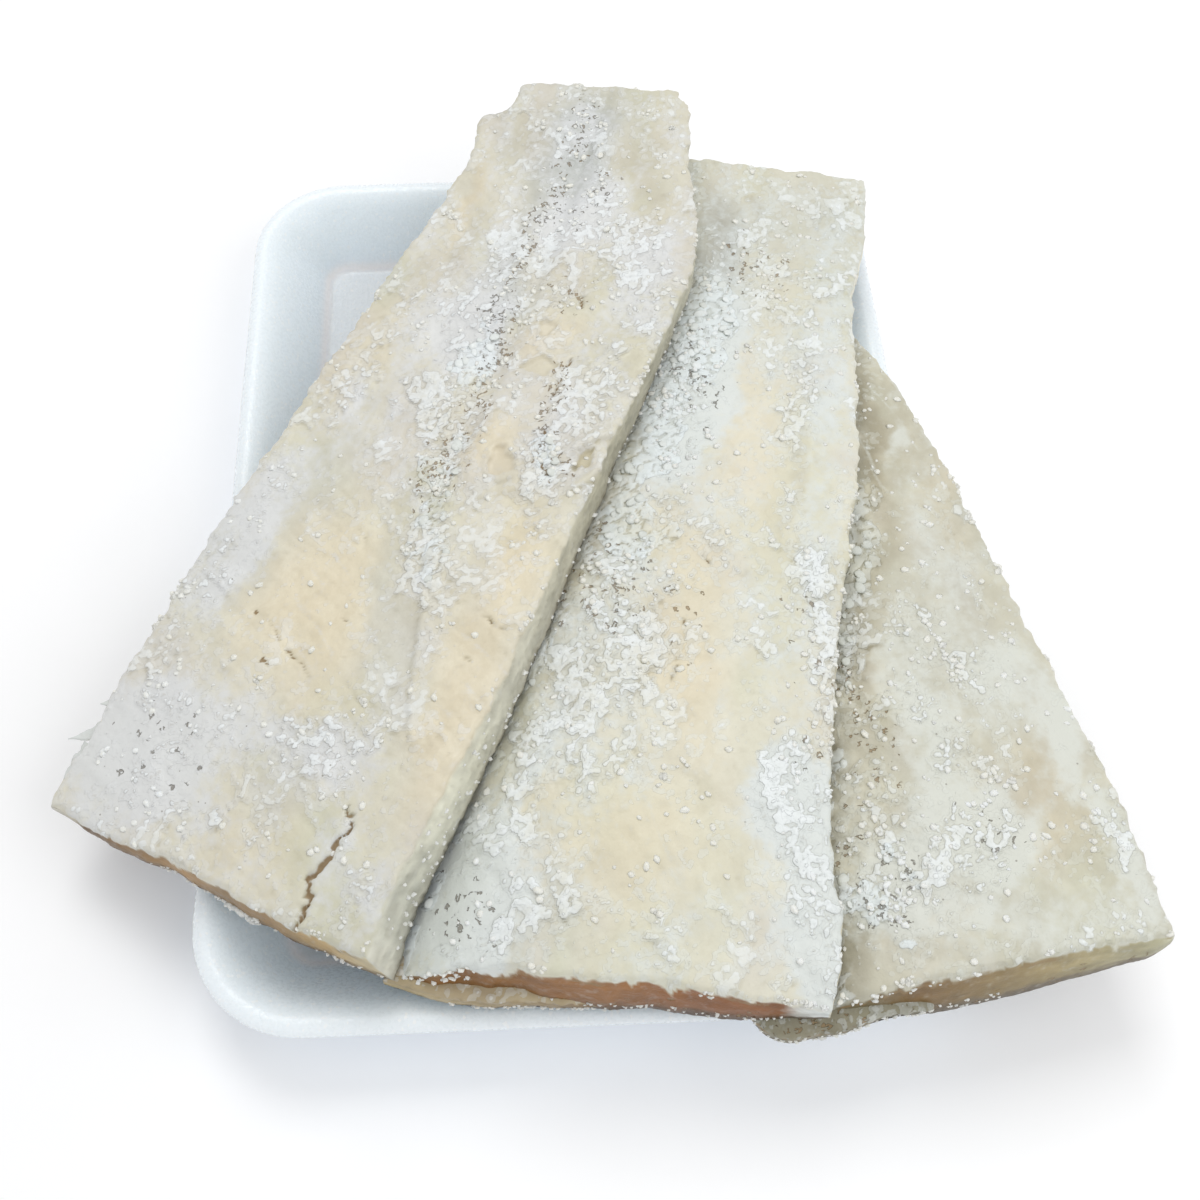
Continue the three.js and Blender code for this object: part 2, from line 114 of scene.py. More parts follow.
def noise(x: Array, y: Array, scale: float, seed: int) -> Array:
    """Smooth noise over the plane with features of one scale.

    Args:
        x: across, in mm.
        y: along, in mm.
        scale: size of a feature, in mm.
        seed: which pattern.

    Returns:
        Numbers from -1 to 1.
    """
    across, deep = x / scale, y / scale
    column = np.floor(across).astype(np.int64)
    row = np.floor(deep).astype(np.int64)
    a = smooth(0, 1, across - column)
    b = smooth(0, 1, deep - row)
    near = corner_value(column, row, seed) * (1 - a) + corner_value(column + 1, row, seed) * a
    far = corner_value(column, row + 1, seed) * (1 - a)
    far = far + corner_value(column + 1, row + 1, seed) * a
    return near * (1 - b) + far * b


def rough_noise(x: Array, y: Array, scale: float, seed: int, octaves: int = 3) -> Array:
    """Noise with finer noise on top, turned at each octave so that no lattice shows.

    Args:
        x: across, in mm.
        y: along, in mm.
        scale: size of the largest features, in mm.
        seed: which pattern.
        octaves: how many sizes of feature, each half the one before.

    Returns:
        Numbers from about -1 to 1.
    """
    total = np.zeros_like(x)
    weight, weights = 1.0, 0.0
    for octave in range(octaves):
        across, deep = rotated(x, y, 0.6 + 1.1 * octave)
        total = total + weight * noise(across, deep, scale / 2**octave, seed + 17 * octave)
        weights += weight
        weight *= 0.55
    return total / weights


@dataclass
class Places:
    """Places on a plane, in mm, with the noise patterns that belong to one loin."""

    x: Array
    y: Array
    seed: int

    def wave(self, scale: float, number: int) -> Array:
        """Smooth noise with features of one scale in mm, in one of the patterns."""
        return noise(self.x, self.y, scale, self.seed + number)

    def rough(self, scale: float, number: int, octaves: int = 3) -> Array:
        """Noise with finer noise on top, in one of the patterns."""
        return rough_noise(self.x, self.y, scale, self.seed + number, octaves)


def mixed(first: Array, second: Array, share: Array) -> Array:
    """The first values with a share of the second."""
    return first * (1 - share) + second * share


@dataclass
class Cells:
    """Irregular cells that cover the plane."""

    near: Array
    edge: Array
    name: Array
    tilt: Array


def cells(x: Array, y: Array, scale: float, seed: int) -> Cells:
    """Cells round randomly placed seeds, one to each square.

    Args:
        x: across, in mm.
        y: along, in mm.
        scale: side of the squares, in mm.
        seed: which pattern.

    Returns:
        For each place the distance to its seed and to the cell's border, as shares of the
        side, a number from 0 to 1 that names the cell, and the height of a slope that rises
        across the cell to the near right, from about -0.7 to 0.7.
    """
    across, deep = x / scale, y / scale
    column = np.floor(across).astype(np.int64)
    row = np.floor(deep).astype(np.int64)
    first, second = np.full(np.shape(x), 9.0), np.full(np.shape(x), 9.0)
    name, tilt = np.zeros(np.shape(x)), np.zeros(np.shape(x))
    for step_x in (-1, 0, 1):
        for step_y in (-1, 0, 1):
            here = column + step_x, row + step_y
            gap_x = here[0] + 0.5 + 0.46 * corner_value(*here, seed) - across
            gap_y = here[1] + 0.5 + 0.46 * corner_value(*here, seed + 1) - deep
            gap = np.hypot(gap_x, gap_y)
            closer = gap < first
            second = np.where(closer, first, np.minimum(second, gap))
            first = np.where(closer, gap, first)
            name = np.where(closer, corner_value(*here, seed + 2) * 0.5 + 0.5, name)
            angle = -1.0 + 1.3 * corner_value(*here, seed + 3)
            rise = -gap_x * np.cos(angle) - gap_y * np.sin(angle)
            tilt = np.where(closer, rise, tilt)
    return Cells(first, (second - first) / 2, name, tilt)


def along(points: Rows, share: Array) -> Array:
    """Points at shares of the length of a smooth curve through points of any dimension.

    Args:
        points: the points that the curve goes through.
        share: where on the curve, from 0 to 1.

    Returns:
        One row for each share.
    """
    stops = np.array(points, float)
    steps = np.hypot(*(stops[1:, :2] - stops[:-1, :2]).T)
    lengths = np.concatenate([[0], np.cumsum(steps)])
    target = np.asarray(share, float) * lengths[-1]
    span = np.clip(np.searchsorted(lengths[1:], target), 0, len(stops) - 2)
    width = (lengths[span + 1] - lengths[span])[..., None]
    t = (target[..., None] - lengths[span][..., None]) / width
    before = np.maximum(np.arange(len(stops)) - 1, 0)
    after = np.minimum(np.arange(len(stops)) + 1, len(stops) - 1)
    slopes = (stops[after] - stops[before]) / (lengths[after] - lengths[before])[:, None]
    start, end = stops[span], stops[span + 1]
    start_slope, end_slope = slopes[span] * width, slopes[span + 1] * width
    cubic = 2 * (start - end) + start_slope + end_slope
    square = 3 * (end - start) - 2 * start_slope - end_slope
    return start + t * (start_slope + t * (square + t * cubic))


def to_line(x: Array, y: Array, path: Rows) -> tuple[Array, Array]:
    """Distance from places to a line of straight stretches.

    Args:
        x: across, in mm.
        y: along, in mm.
        path: the line's points, in order.

    Returns:
        The distance, and how far along the line the nearest point is, from 0 to 1.
    """
    nearest = np.full(np.shape(x), 1e9)
    share = np.zeros(np.shape(x))
    for i, (start, end) in enumerate(zip(path[:-1], path[1:])):
        run_x, run_y = end[0] - start[0], end[1] - start[1]
        t = ((x - start[0]) * run_x + (y - start[1]) * run_y) / (run_x**2 + run_y**2)
        t = np.clip(t, 0, 1)
        gap = np.hypot(x - start[0] - t * run_x, y - start[1] - t * run_y)
        closer = gap < nearest
        nearest = np.where(closer, gap, nearest)
        share = np.where(closer, (i + t) / (len(path) - 1), share)
    return nearest, share


def outside_of(x: Array, y: Array, outline: Array) -> Array:
    """Distance to a closed outline, negative inside it.

    Args:
        x: across, in mm.
        y: along, in mm.
        outline: the outline's corners as rows of x and y.

    Returns:
        The signed distance in mm.
    """
    inside = np.zeros(np.shape(x), bool)
    nearest = np.full(np.shape(x), 1e9)
    for start, end in zip(outline, np.roll(outline, -1, axis=0)):
        run = end - start
        t = ((x - start[0]) * run[0] + (y - start[1]) * run[1]) / max(run @ run, 1e-9)
        t = np.clip(t, 0, 1)
        gap = np.hypot(x - start[0] - t * run[0], y - start[1] - t * run[1])
        nearest = np.minimum(nearest, gap)
        crosses = (start[1] > y) != (end[1] > y)
        rise = run[1] if abs(run[1]) > 1e-9 else 1e-9
        inside ^= crosses & (x < start[0] + (y - start[1]) * run[0] / rise)
    return np.where(inside, -nearest, nearest)


def softened(values: Array, passes: int) -> Array:
    """Averages a grid of values with its neighbours.

    Args:
        values: the grid.
        passes: how many times over.

    Returns:
        The softer grid.
    """
    soft = values.copy()
    for _ in range(passes):
        for axis in (0, 1):
            ahead = np.roll(soft, 1, axis)
            behind = np.roll(soft, -1, axis)
            first = [slice(None)] * 2
            last = [slice(None)] * 2
            first[axis], last[axis] = 0, -1
            ahead[tuple(first)] = soft[tuple(first)]
            behind[tuple(last)] = soft[tuple(last)]
            soft = 0.5 * soft + 0.25 * (ahead + behind)
    return soft


def border(grid: Array) -> Array:
    """The values on a grid's border, anticlockwise from the near left corner."""
    return np.concatenate([grid[0, :-1], grid[:-1, -1], grid[-1, :0:-1], grid[:0:-1, 0]])


def border_places(shape: tuple[int, ...]) -> tuple[Array, Array]:
    """Where the places on a grid's border are.

    Args:
        shape: the grid's rows and columns.

    Returns:
        The side, 0 near, 1 right, 2 far and 3 left, and the share of the way along it.
    """
    lengths = (shape[1] - 1, shape[0] - 1) * 2
    runs = [np.arange(length) / length for length in lengths]
    return np.repeat([0, 1, 2, 3], lengths), np.concatenate(runs)


def quads(numbers: Array) -> Array:
    """Faces between a grid's corners, from a grid of the corners' numbers."""
    near, far = numbers[:-1], numbers[1:]
    return np.stack([near[:, :-1], near[:, 1:], far[:, 1:], far[:, :-1]], axis=-1).reshape(-1, 4)


# ---- meshes and materials


def make_mesh(
    name: str,
    points: Array,
    faces: list[list[int]],
    replaced: tuple[str, ...] = (),
    values: dict[str, Array] | None = None,
) -> bpy.types.Object:
    """Makes a piece of the object from arrays and lets it ride on the one body.

    Args:
        name: the piece's name.
        points: corners in mm, one row each.
        faces: faces as lists or arrays of corner numbers.
        replaced: CAD nodes that the piece stands for.
        values: numbers or colours for each corner, by name.

    Returns:
        The new object.
    """
    mesh = bpy.data.meshes.new(name)
    mesh.from_pydata((points * MM).tolist(), [], [list(map(int, face)) for face in faces])
    mesh.validate()
    for key, numbers in (values or {}).items():
        if numbers.ndim == 1:
            layer = mesh.attributes.new(key, "FLOAT", "POINT")
            layer.data.foreach_set("value", numbers.astype(np.float32))
        else:
            layer = mesh.attributes.new(key, "FLOAT_COLOR", "POINT")
            opaque = np.concatenate([numbers, np.ones((len(numbers), 1))], axis=1)
            layer.data.foreach_set("color", opaque.astype(np.float32).ravel())
    mesh.polygons.foreach_set("use_smooth", np.full(len(mesh.polygons), True))
    piece = bpy.data.objects.new(name, mesh)
    bpy.context.scene.collection.objects.link(piece)
    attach(piece, "root")
    if replaced:
        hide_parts(*replaced)
    LOG.info("%s: %d corners, %d faces", name, len(mesh.vertices), len(mesh.polygons))
    return piece


class Shader:
    """A node material under construction."""

    def __init__(self, name: str) -> None:
        """Starts an empty material with one Principled shader.

        Args:
            name: the material's name.
        """
        self.material = bpy.data.materials.new(name)
        self.material.use_nodes = True
        self.tree = self.material.node_tree
        self.surface = self.tree.nodes["Principled BSDF"]
        self.place = self.tree.nodes.new("ShaderNodeTexCoord").outputs["Object"]

    def node(self, kind: str, feeds: Feeds, **settings: object) -> bpy.types.Node:
        """Adds a node.

        Args:
            kind: the node's type.
            feeds: what goes into its inputs, by name or number.
            **settings: properties to set on it.

        Returns:
            The node.
        """
        made = self.tree.nodes.new(kind)
        for key, value in settings.items():
            setattr(made, key, value)
        for key, value in feeds.items():
            self.feed(made.inputs[key], value)
        return made

    def feed(self, socket: Socket, value: object) -> None:
        """Links a socket to another, or sets its value.

        Args:
            socket: the socket to fill.
            value: a number, a colour or another socket.
        """
        if isinstance(value, Socket):
            self.tree.links.new(value, socket)
        elif isinstance(value, tuple) and len(value) == 3 and socket.type == "RGBA":
            socket.default_value = (*value, 1.0)
        else:
            socket.default_value = value

    def read(self, key: str, colour: bool = False) -> Socket:
        """Reads a value that the mesh holds for each corner."""
        found = self.node("ShaderNodeAttribute", {}, attribute_name=key)
        return found.outputs["Color" if colour else "Fac"]

    def math(self, rule: str, a: object, b: object = 0.0, clamp: bool = False) -> Socket:
        """Works out one number from two.

        Args:
            rule: the sum to do.
            a: first number.
            b: second number.
            clamp: whether to keep the result from 0 to 1.

        Returns:
            The socket with the result.
        """
        made = self.node("ShaderNodeMath", {0: a, 1: b}, operation=rule, use_clamp=clamp)
        return made.outputs[0]

    def plus(self, a: object, b: object) -> Socket:
        """The sum of two numbers."""
        return self.math("ADD", a, b)

    def minus(self, a: object, b: object) -> Socket:
        """The first number less the second."""
        return self.math("SUBTRACT", a, b)

    def times(self, a: object, b: object) -> Socket:
        """The product of two numbers."""
        return self.math("MULTIPLY", a, b)

    def grain(self, size: float, detail: float = 2.0, roughness: float = 0.5) -> Socket:
        """Noise from 0 to 1.

        Args:
            size: size of its features, in mm.
            detail: how many finer sizes lie on top.
            roughness: how strong those are.

        Returns:
            The socket with the noise.
        """
        feeds = {"Vector": self.place, "Scale": 1 / (size * MM)}
        feeds |= {"Detail": detail, "Roughness": roughness}
        return self.node("ShaderNodeTexNoise", feeds).outputs[0]

    def beads(self, size: float, edges: bool = False) -> bpy.types.Node:
        """Cells side by side.

        Args:
            size: size of a cell, in mm.
            edges: whether to measure to the cells' edges, not to their middles.

        Returns:
            The node, with its distance and colour outputs.
        """
        feeds = {"Vector": self.place, "Scale": 1 / (size * MM)}
        feature = "DISTANCE_TO_EDGE" if edges else "F1"
        return self.node("ShaderNodeTexVoronoi", feeds, feature=feature)

    def spread(self, value: object, low: float, high: float, to: Span = (0.0, 1.0)) -> Socket:
        """Stretches a number smoothly from one range to another.

        Args:
            value: the number or socket to stretch.
            low: number that becomes the first of the new range.
            high: number that becomes the last of the new range.
            to: the new range.

        Returns:
            The socket with the stretched number.
        """
        feeds = {"Value": value, "From Min": low, "From Max": high}
        feeds |= {"To Min": to[0], "To Max": to[1]}
        made = self.node("ShaderNodeMapRange", feeds, interpolation_type="SMOOTHSTEP")
        return made.outputs["Result"]

    def blend(self, share: object, a: object, b: object, rule: str = "MIX") -> Socket:
        """Mixes two colours.

        Args:
            share: how much of the second colour.
            a: first colour.
            b: second colour.
            rule: how the second is laid over the first.

        Returns:
            The socket with the mixed colour.
        """
        feeds = {"Factor": share, "A": a, "B": b}
        settings = {"data_type": "RGBA", "blend_type": rule, "clamp_factor": True}
        return self.node("ShaderNodeMix", feeds, **settings).outputs["Result"]

    def bump(self, height: object, depth: float) -> Socket:
        """Relief from a height of 0 to 1.

        Args:
            height: the height.
            depth: how deep the relief is, in mm.

        Returns:
            The socket with the new normal.
        """
        feeds = {"Height": height, "Strength": 1.0, "Distance": depth * MM}
        return self.node("ShaderNodeBump", feeds).outputs["Normal"]

    def finish(self, **sockets: object) -> bpy.types.Material:
        """Sets or links the shader's sockets.

        Args:
            **sockets: values by the sockets' names, with underscores for spaces.

        Returns:
            The material.
        """
        for key, value in sockets.items():
            self.feed(self.surface.inputs[key.replace("_", " ")], value)
        return self.material


@dataclass(frozen=True)
class SaltedFlesh:
    """Moist cod flesh under flakes, crystals and a thin film of salt.

    The mesh gives the flesh's colour (tint), how far a place is inside a salt flake (crust),
    how crisp the flakes are (crisp), how thick the film is (film), where crystals lie side by
    side (grain) and how high in one a place is (lump, low in a crescent of painted shadow beside
    each neighbour's raised edge), where short cracks lie (fissure), how sunken a place is or how
    far in the lee of a step, for painted shade (hollow_shade), and how deep in a crack (dark),
    which paints the torn flesh's brown together with shade.
    """

    salt: Colour = linear(236, 240, 240)
    film: Colour = linear(219, 225, 224)
    crystal: Colour = linear(228, 236, 238)
    # Colour of the painted shadow between crystals.
    gap_shade_tone: Colour = linear(196, 199, 189)
    # Crack colours: the torn flesh's own brown or grey, darkened deeper in as painted shade.
    crack: Colour = linear(144, 119, 82)
    grey_crack: Colour = linear(112, 110, 104)
    # Colour of the painted shadow line round the salt patches.
    rim: Colour = linear(222, 214, 200)
    hollow_shade_tone: Colour = linear(194, 189, 175)
    # Colour of the painted shade in sunken places and in the lee of steps.
    speck: Colour = linear(120, 112, 100)
    salt_cover: float = 0.42
    wet_roughness: float = 0.42
    salt_roughness: float = 0.62

    def torn_place(self, s: Shader, reach: float) -> Socket:
        """The place on the surface, shifted to and fro so that borders come out jagged.

        Args:
            s: the material's shader.
            reach: how far the place is shifted, in mm.

        Returns:
            The socket with the shifted place.
        """
        feeds = {"Vector": s.place, "Scale": 1 / (1.7 * MM), "Detail": 2.0}
        wave = s.node("ShaderNodeTexNoise", feeds).outputs["Color"]
        feeds = {0: wave, 1: (reach * MM,) * 3, 2: s.place}
        return s.node("ShaderNodeVectorMath", feeds, operation="MULTIPLY_ADD").outputs[0]

    def layers(self, s: Shader, place: Socket, size: float) -> list[Socket]:
        """Small flakes that differ from one to the next.

        Args:
            s: the material's shader.
            place: the place on the surface.
            size: how large a flake is, in mm.

        Returns:
            Sockets with the flake's height, a second number of its own, and the distance to its
            middle, all from 0 to 1.
        """
        flakes = s.node("ShaderNodeTexVoronoi", {"Vector": place, "Scale": 1 / (size * MM)})
        sift = s.node("ShaderNodeSeparateColor", {0: flakes.outputs["Color"]})
        return [sift.outputs[0], sift.outputs[1], flakes.outputs["Distance"]]

    def material(self, name: str) -> bpy.types.Material:
        """Builds the material.

        Args:
            name: its name.

        Returns:
            The material.
        """
        s = Shader(name)
        fine, mottle = s.grain(0.9, 3.0, 0.6), s.grain(2.6, 2.0, 0.6)
        # Painted shade: darker where a place is sunken or in the lee of a step.
        hollow_shade = s.math("MAXIMUM", s.read("hollow_shade"), 0.0, clamp=True)
        colour = s.blend(hollow_shade, s.read("tint", colour=True), self.hollow_shade_tone, "MULTIPLY")
        colour = s.blend(s.spread(mottle, 0.35, 0.7), colour, (0.965, 0.957, 0.94), "MULTIPLY")
        worn = s.times(s.minus(mottle, 0.5), 1.1)
        film = s.spread(s.plus(s.read("film"), worn), 0.0, 0.86, (0.0, 0.8))
        colour = s.blend(film, colour, self.film)

        crisp = s.read("crisp")
        fine_shift = s.times(s.minus(fine, 0.5), 0.42)
        lobes = s.beads(1.8)
        lobe = s.times(s.minus(0.42, lobes.outputs["Distance"]), 0.42)
        crust = s.plus(s.plus(s.read("crust"), lobe), s.times(fine_shift, 0.6))
        patch, thick = s.spread(crust, -0.01, 0.05), s.spread(crust, 0.4, 0.47)
        veil = s.spread(crust, -0.02, 0.1)
        faint = s.spread(crust, -0.31, -0.26)
        colour = s.blend(s.times(faint, 0.26), colour, self.film)
        # Painted shade: a thin darker ring just outside each salt patch, stronger in crisp zones.
        ring = s.times(s.spread(crust, -0.12, -0.01), s.minus(1.0, patch))
        ring = s.times(ring, s.spread(crisp, 0.0, 1.0, (0.03, 0.28)))
        colour = s.blend(ring, colour, self.rim, "MULTIPLY")
        torn = self.torn_place(s, 1.5)
        large, _, _ = self.layers(s, torn, 4.4)
        small, choice, away = self.layers(s, torn, 1.9)
        rugged = s.times(crisp, s.spread(s.read("crust"), -0.6, 0.3, (0.25, 1.0)))
        tone = s.plus(s.times(large, 0.6), s.times(small, 0.4))
        shift = s.times(s.spread(tone, 0.15, 0.85), rugged)
        colour = s.blend(s.times(shift, 0.5), colour, (0.955, 0.947, 0.93), "MULTIPLY")
        salty = s.spread(s.read("film"), 0.0, 0.5)
        cover = s.times(veil, s.spread(mottle, 0.3, 0.7, (0.38, self.salt_cover + 0.38)))
        cover = s.times(cover, s.plus(s.times(salty, 0.4), 0.6))
        colour = s.blend(cover, colour, self.salt)
        colour = s.blend(s.times(thick, 0.35), colour, self.salt)

        grain = s.spread(s.plus(s.read("grain"), fine_shift), 0.3, 0.55)
        lump = s.plus(s.read("lump"), s.times(fine_shift, 0.8))
        white = s.times(grain, s.spread(lump, 0.15, 0.8, (0.0, 0.66)))
        white = s.times(white, s.plus(s.times(salty, 0.6), 0.4))
        colour = s.blend(white, colour, self.crystal)
        # Painted shadow in the crescent on each crystal's low side, beside its neighbour's raised
        # edge.
        gaps = s.times(grain, s.spread(lump, 0.3, 0.05, (0.0, 0.3)))
        colour = s.blend(gaps, colour, self.gap_shade_tone, "MULTIPLY")

        pick = s.node("ShaderNodeSeparateColor", {0: lobes.outputs["Color"]})
        middle = s.spread(lobes.outputs["Distance"], 0.17, 0.1)
        speck = s.times(middle, s.spread(pick.outputs[0], 0.9, 0.93))
        speck = s.times(speck, s.spread(film, 0.2, 0.7, (0.0, 0.6)))
        colour = s.blend(speck, colour, self.speck)
        line = s.math("ABSOLUTE", s.minus(mottle, 0.5))
        # Ticks and cracks take the crack colour: the torn flesh's own tone with painted shade in
        # the slit.
        crack = s.blend(film, self.crack, self.grey_crack)
        share = s.times(s.read("fissure"), 0.95)
        tick = s.spread(s.minus(choice, share), 0.0, -0.03)
        tick = s.times(tick, s.spread(away, 0.52, 0.4))
        tick = s.times(tick, s.spread(line, 0.05, 0.025))
        colour = s.blend(s.times(tick, 0.75), colour, crack)
        dark = s.plus(s.read("dark"), s.times(fine_shift, 0.8))
        colour = s.blend(s.spread(dark, 0.2, 0.5, (0.0, 0.9)), colour, self.crack)

        height = s.times(fine, 0.09)
        rim = s.times(s.spread(crust, -0.05, 0.12), s.spread(crisp, 0.0, 1.0, (0.4, 1.0)))
        steps = (
            (mottle, 0.13), (rim, 0.17), (tick, -0.3), (faint, 0.05),
            (s.times(thick, crisp), 0.14), (s.times(large, rugged), 0.18),
            (s.times(small, rugged), 0.12),
        )
        lumps = s.times(grain, s.spread(lump, 0.05, 0.5))
        for layer, depth in (*steps, (lumps, 0.16)):
            height = s.plus(height, s.times(layer, depth))
        return s.finish(
            Base_Color=colour,
            Roughness=s.spread(patch, 0.0, 1.0, (self.wet_roughness, self.salt_roughness)),
            Normal=s.bump(height, 1.0),
            IOR=1.42,
        )


@dataclass(frozen=True)
class SaltGrain:
    """Cloudy salt, from cream to blue-white from one grain to the next."""

    cream: Colour = linear(238, 234, 220)
    white: Colour = linear(248, 250, 252)
    roughness: float = 0.38
    glow: float = 0.35

    def material(self, name: str) -> bpy.types.Material:
        """Builds the material.

        Args:
            name: its name.

        Returns:
            The material.
        """
        s = Shader(name)
        cloudy = s.grain(0.5, 2.0)
        colour = s.blend(s.read("shade"), self.cream, self.white)
        veins = s.spread(cloudy, 0.4, 0.7, (0.0, 0.4))
        colour = s.blend(veins, colour, (0.93, 0.92, 0.88), "MULTIPLY")
        return s.finish(
            Base_Color=colour,
            Roughness=s.spread(cloudy, 0.3, 0.7, (self.roughness - 0.1, self.roughness + 0.15)),
            Normal=s.bump(cloudy, 0.12),
            IOR=1.5,
            Subsurface_Weight=self.glow,
            Subsurface_Radius=(1.0, 0.95, 0.85),
            Subsurface_Scale=0.0012,
        )


@dataclass(frozen=True)
class Foam:
    """White expanded foam with faint beads under a smooth skin, a fine sparkle and a painted
    highlight along the floor's crease.
    """

    white: Colour = linear(230, 242, 255)
    seam: Colour = linear(222, 233, 249)
    roughness: float = 0.36

    def material(self, name: str) -> bpy.types.Material:
        """Builds the material.

        Args:
            name: its name.

        Returns:
            The material.
        """
        s = Shader(name)
        bead = s.beads(1.6, edges=True).outputs["Distance"]
        sift = s.node("ShaderNodeSeparateColor", {0: s.beads(0.7).outputs["Color"]})
        colour = s.blend(s.spread(bead, 0.0, 0.12, (0.1, 0.0)), self.white, self.seam)
        colour = s.blend(s.spread(sift.outputs[0], 0.9, 0.98, (0.0, 0.25)), colour, (1.0, 1.0, 1.0))
        colour = s.blend(s.spread(s.grain(14.0), 0.3, 0.7, (0.0, 0.12)), colour, self.seam)
        # Painted highlight: a bright line along the crease where the inner walls meet the floor.
        colour = s.blend(s.times(s.read("crease_highlight"), 0.8), colour, (1.0, 1.0, 1.0))
        relief = s.plus(s.spread(bead, 0.0, 0.2), s.times(s.grain(0.6, 2.0), 0.6))
        rough = s.spread(sift.outputs[1], 0.0, 1.0, (self.roughness - 0.17, self.roughness + 0.1))
        return s.finish(
            Base_Color=colour,
            Roughness=rough,
            Normal=s.bump(relief, 0.02),
            IOR=1.45,
            Subsurface_Weight=0.8,
            Subsurface_Radius=(0.9, 0.95, 1.0),
            Subsurface_Scale=0.012,
        )


# ---- the loins


class Kind(Enum):
    """What a zone of a loin's top is like."""

    CRUST = "white salt crust"
    BARE = "flesh with little salt"
    FILM = "thin smooth film of salt"
    CRACKED = "short cracks and pits"
    CRYSTALS = "round crystals side by side"
    WARM = "peach-beige flesh"
    GREY = "grey, glassy flesh"
    OLIVE = "olive-brown flesh in the shade of a fold"


TONES = {
    Kind.WARM: linear(224, 213, 186),
    Kind.GREY: linear(193, 196, 191),
    Kind.OLIVE: linear(170, 161, 136),
}
CRISPNESS = {
    Kind.CRUST: 0.85, Kind.CRYSTALS: 0.7, Kind.CRACKED: 0.5, Kind.FILM: 0.3, Kind.BARE: -0.4,
}
CASTS = ((0.955, 0.95, 1.0), (0.96, 0.965, 0.92), (0.945, 0.965, 0.96))


@dataclass(frozen=True)
class Zone:
    """An oval part of a loin's top, with soft edges."""

    kind: Kind
    x: float
    y: float
    across: float
    length: float
    strength: float
    turn: float = 0.0

    def share(self, x: Array, y: Array) -> Array:
        """How far places in mm belong to the zone, from 0 to its strength."""
        a, b = rotated(x - self.x, y - self.y, math.radians(self.turn))
        return self.strength * np.exp(-(((a / self.across) ** 2 + (b / self.length) ** 2) ** 1.5))


def wall_tones(*rows: tuple[float, int, int, int]) -> list[tuple[float, Colour]]:
    """Colours along a wall from rows of share of its length, red, green and blue."""
    return [(share, linear(*colour)) for share, *colour in rows]


def spots(table: dict[Kind, Rows]) -> list[Zone]:
    """Zones from rows of x, y, half across, half along, strength and any turn, by kind."""
    return [Zone(kind, *row) for kind, rows in table.items() for row in rows]


@dataclass(frozen=True)
class Crack:
    """A thin slit or tear in the flesh."""

    path: Rows
    width: float
    depth: float
    darkness: float = 0.8
    dashed: bool = True


@dataclass(frozen=True)
class Dent:
    """An oval recess with a crisp edge and a raised lip."""

    x: float
    y: float
    across: float
    length: float
    turn: float
    depth: float
    tone: Colour = linear(220, 204, 172)

    def reach(self, at: Places, number: int) -> Array:
        """How far places are from the middle of the dent.

        Args:
            at: the places.
            number: which ragged edge.

        Returns:
            Distances with 1 at the dent's edge.
        """
        gap_x = at.x - self.x + 1.7 * at.wave(3.5, number) + 0.7 * at.wave(1.4, number + 2)
        gap_y = at.y - self.y + 1.7 * at.wave(3.5, number + 1) + 0.7 * at.wave(1.4, number + 3)
        a, b = rotated(gap_x, gap_y, math.radians(self.turn))
        return np.hypot(a / self.across, b / self.length)


@dataclass(frozen=True)
class Fold:
    """A low ridge of lifted flesh."""

    path: Rows
    width: float
    height: float


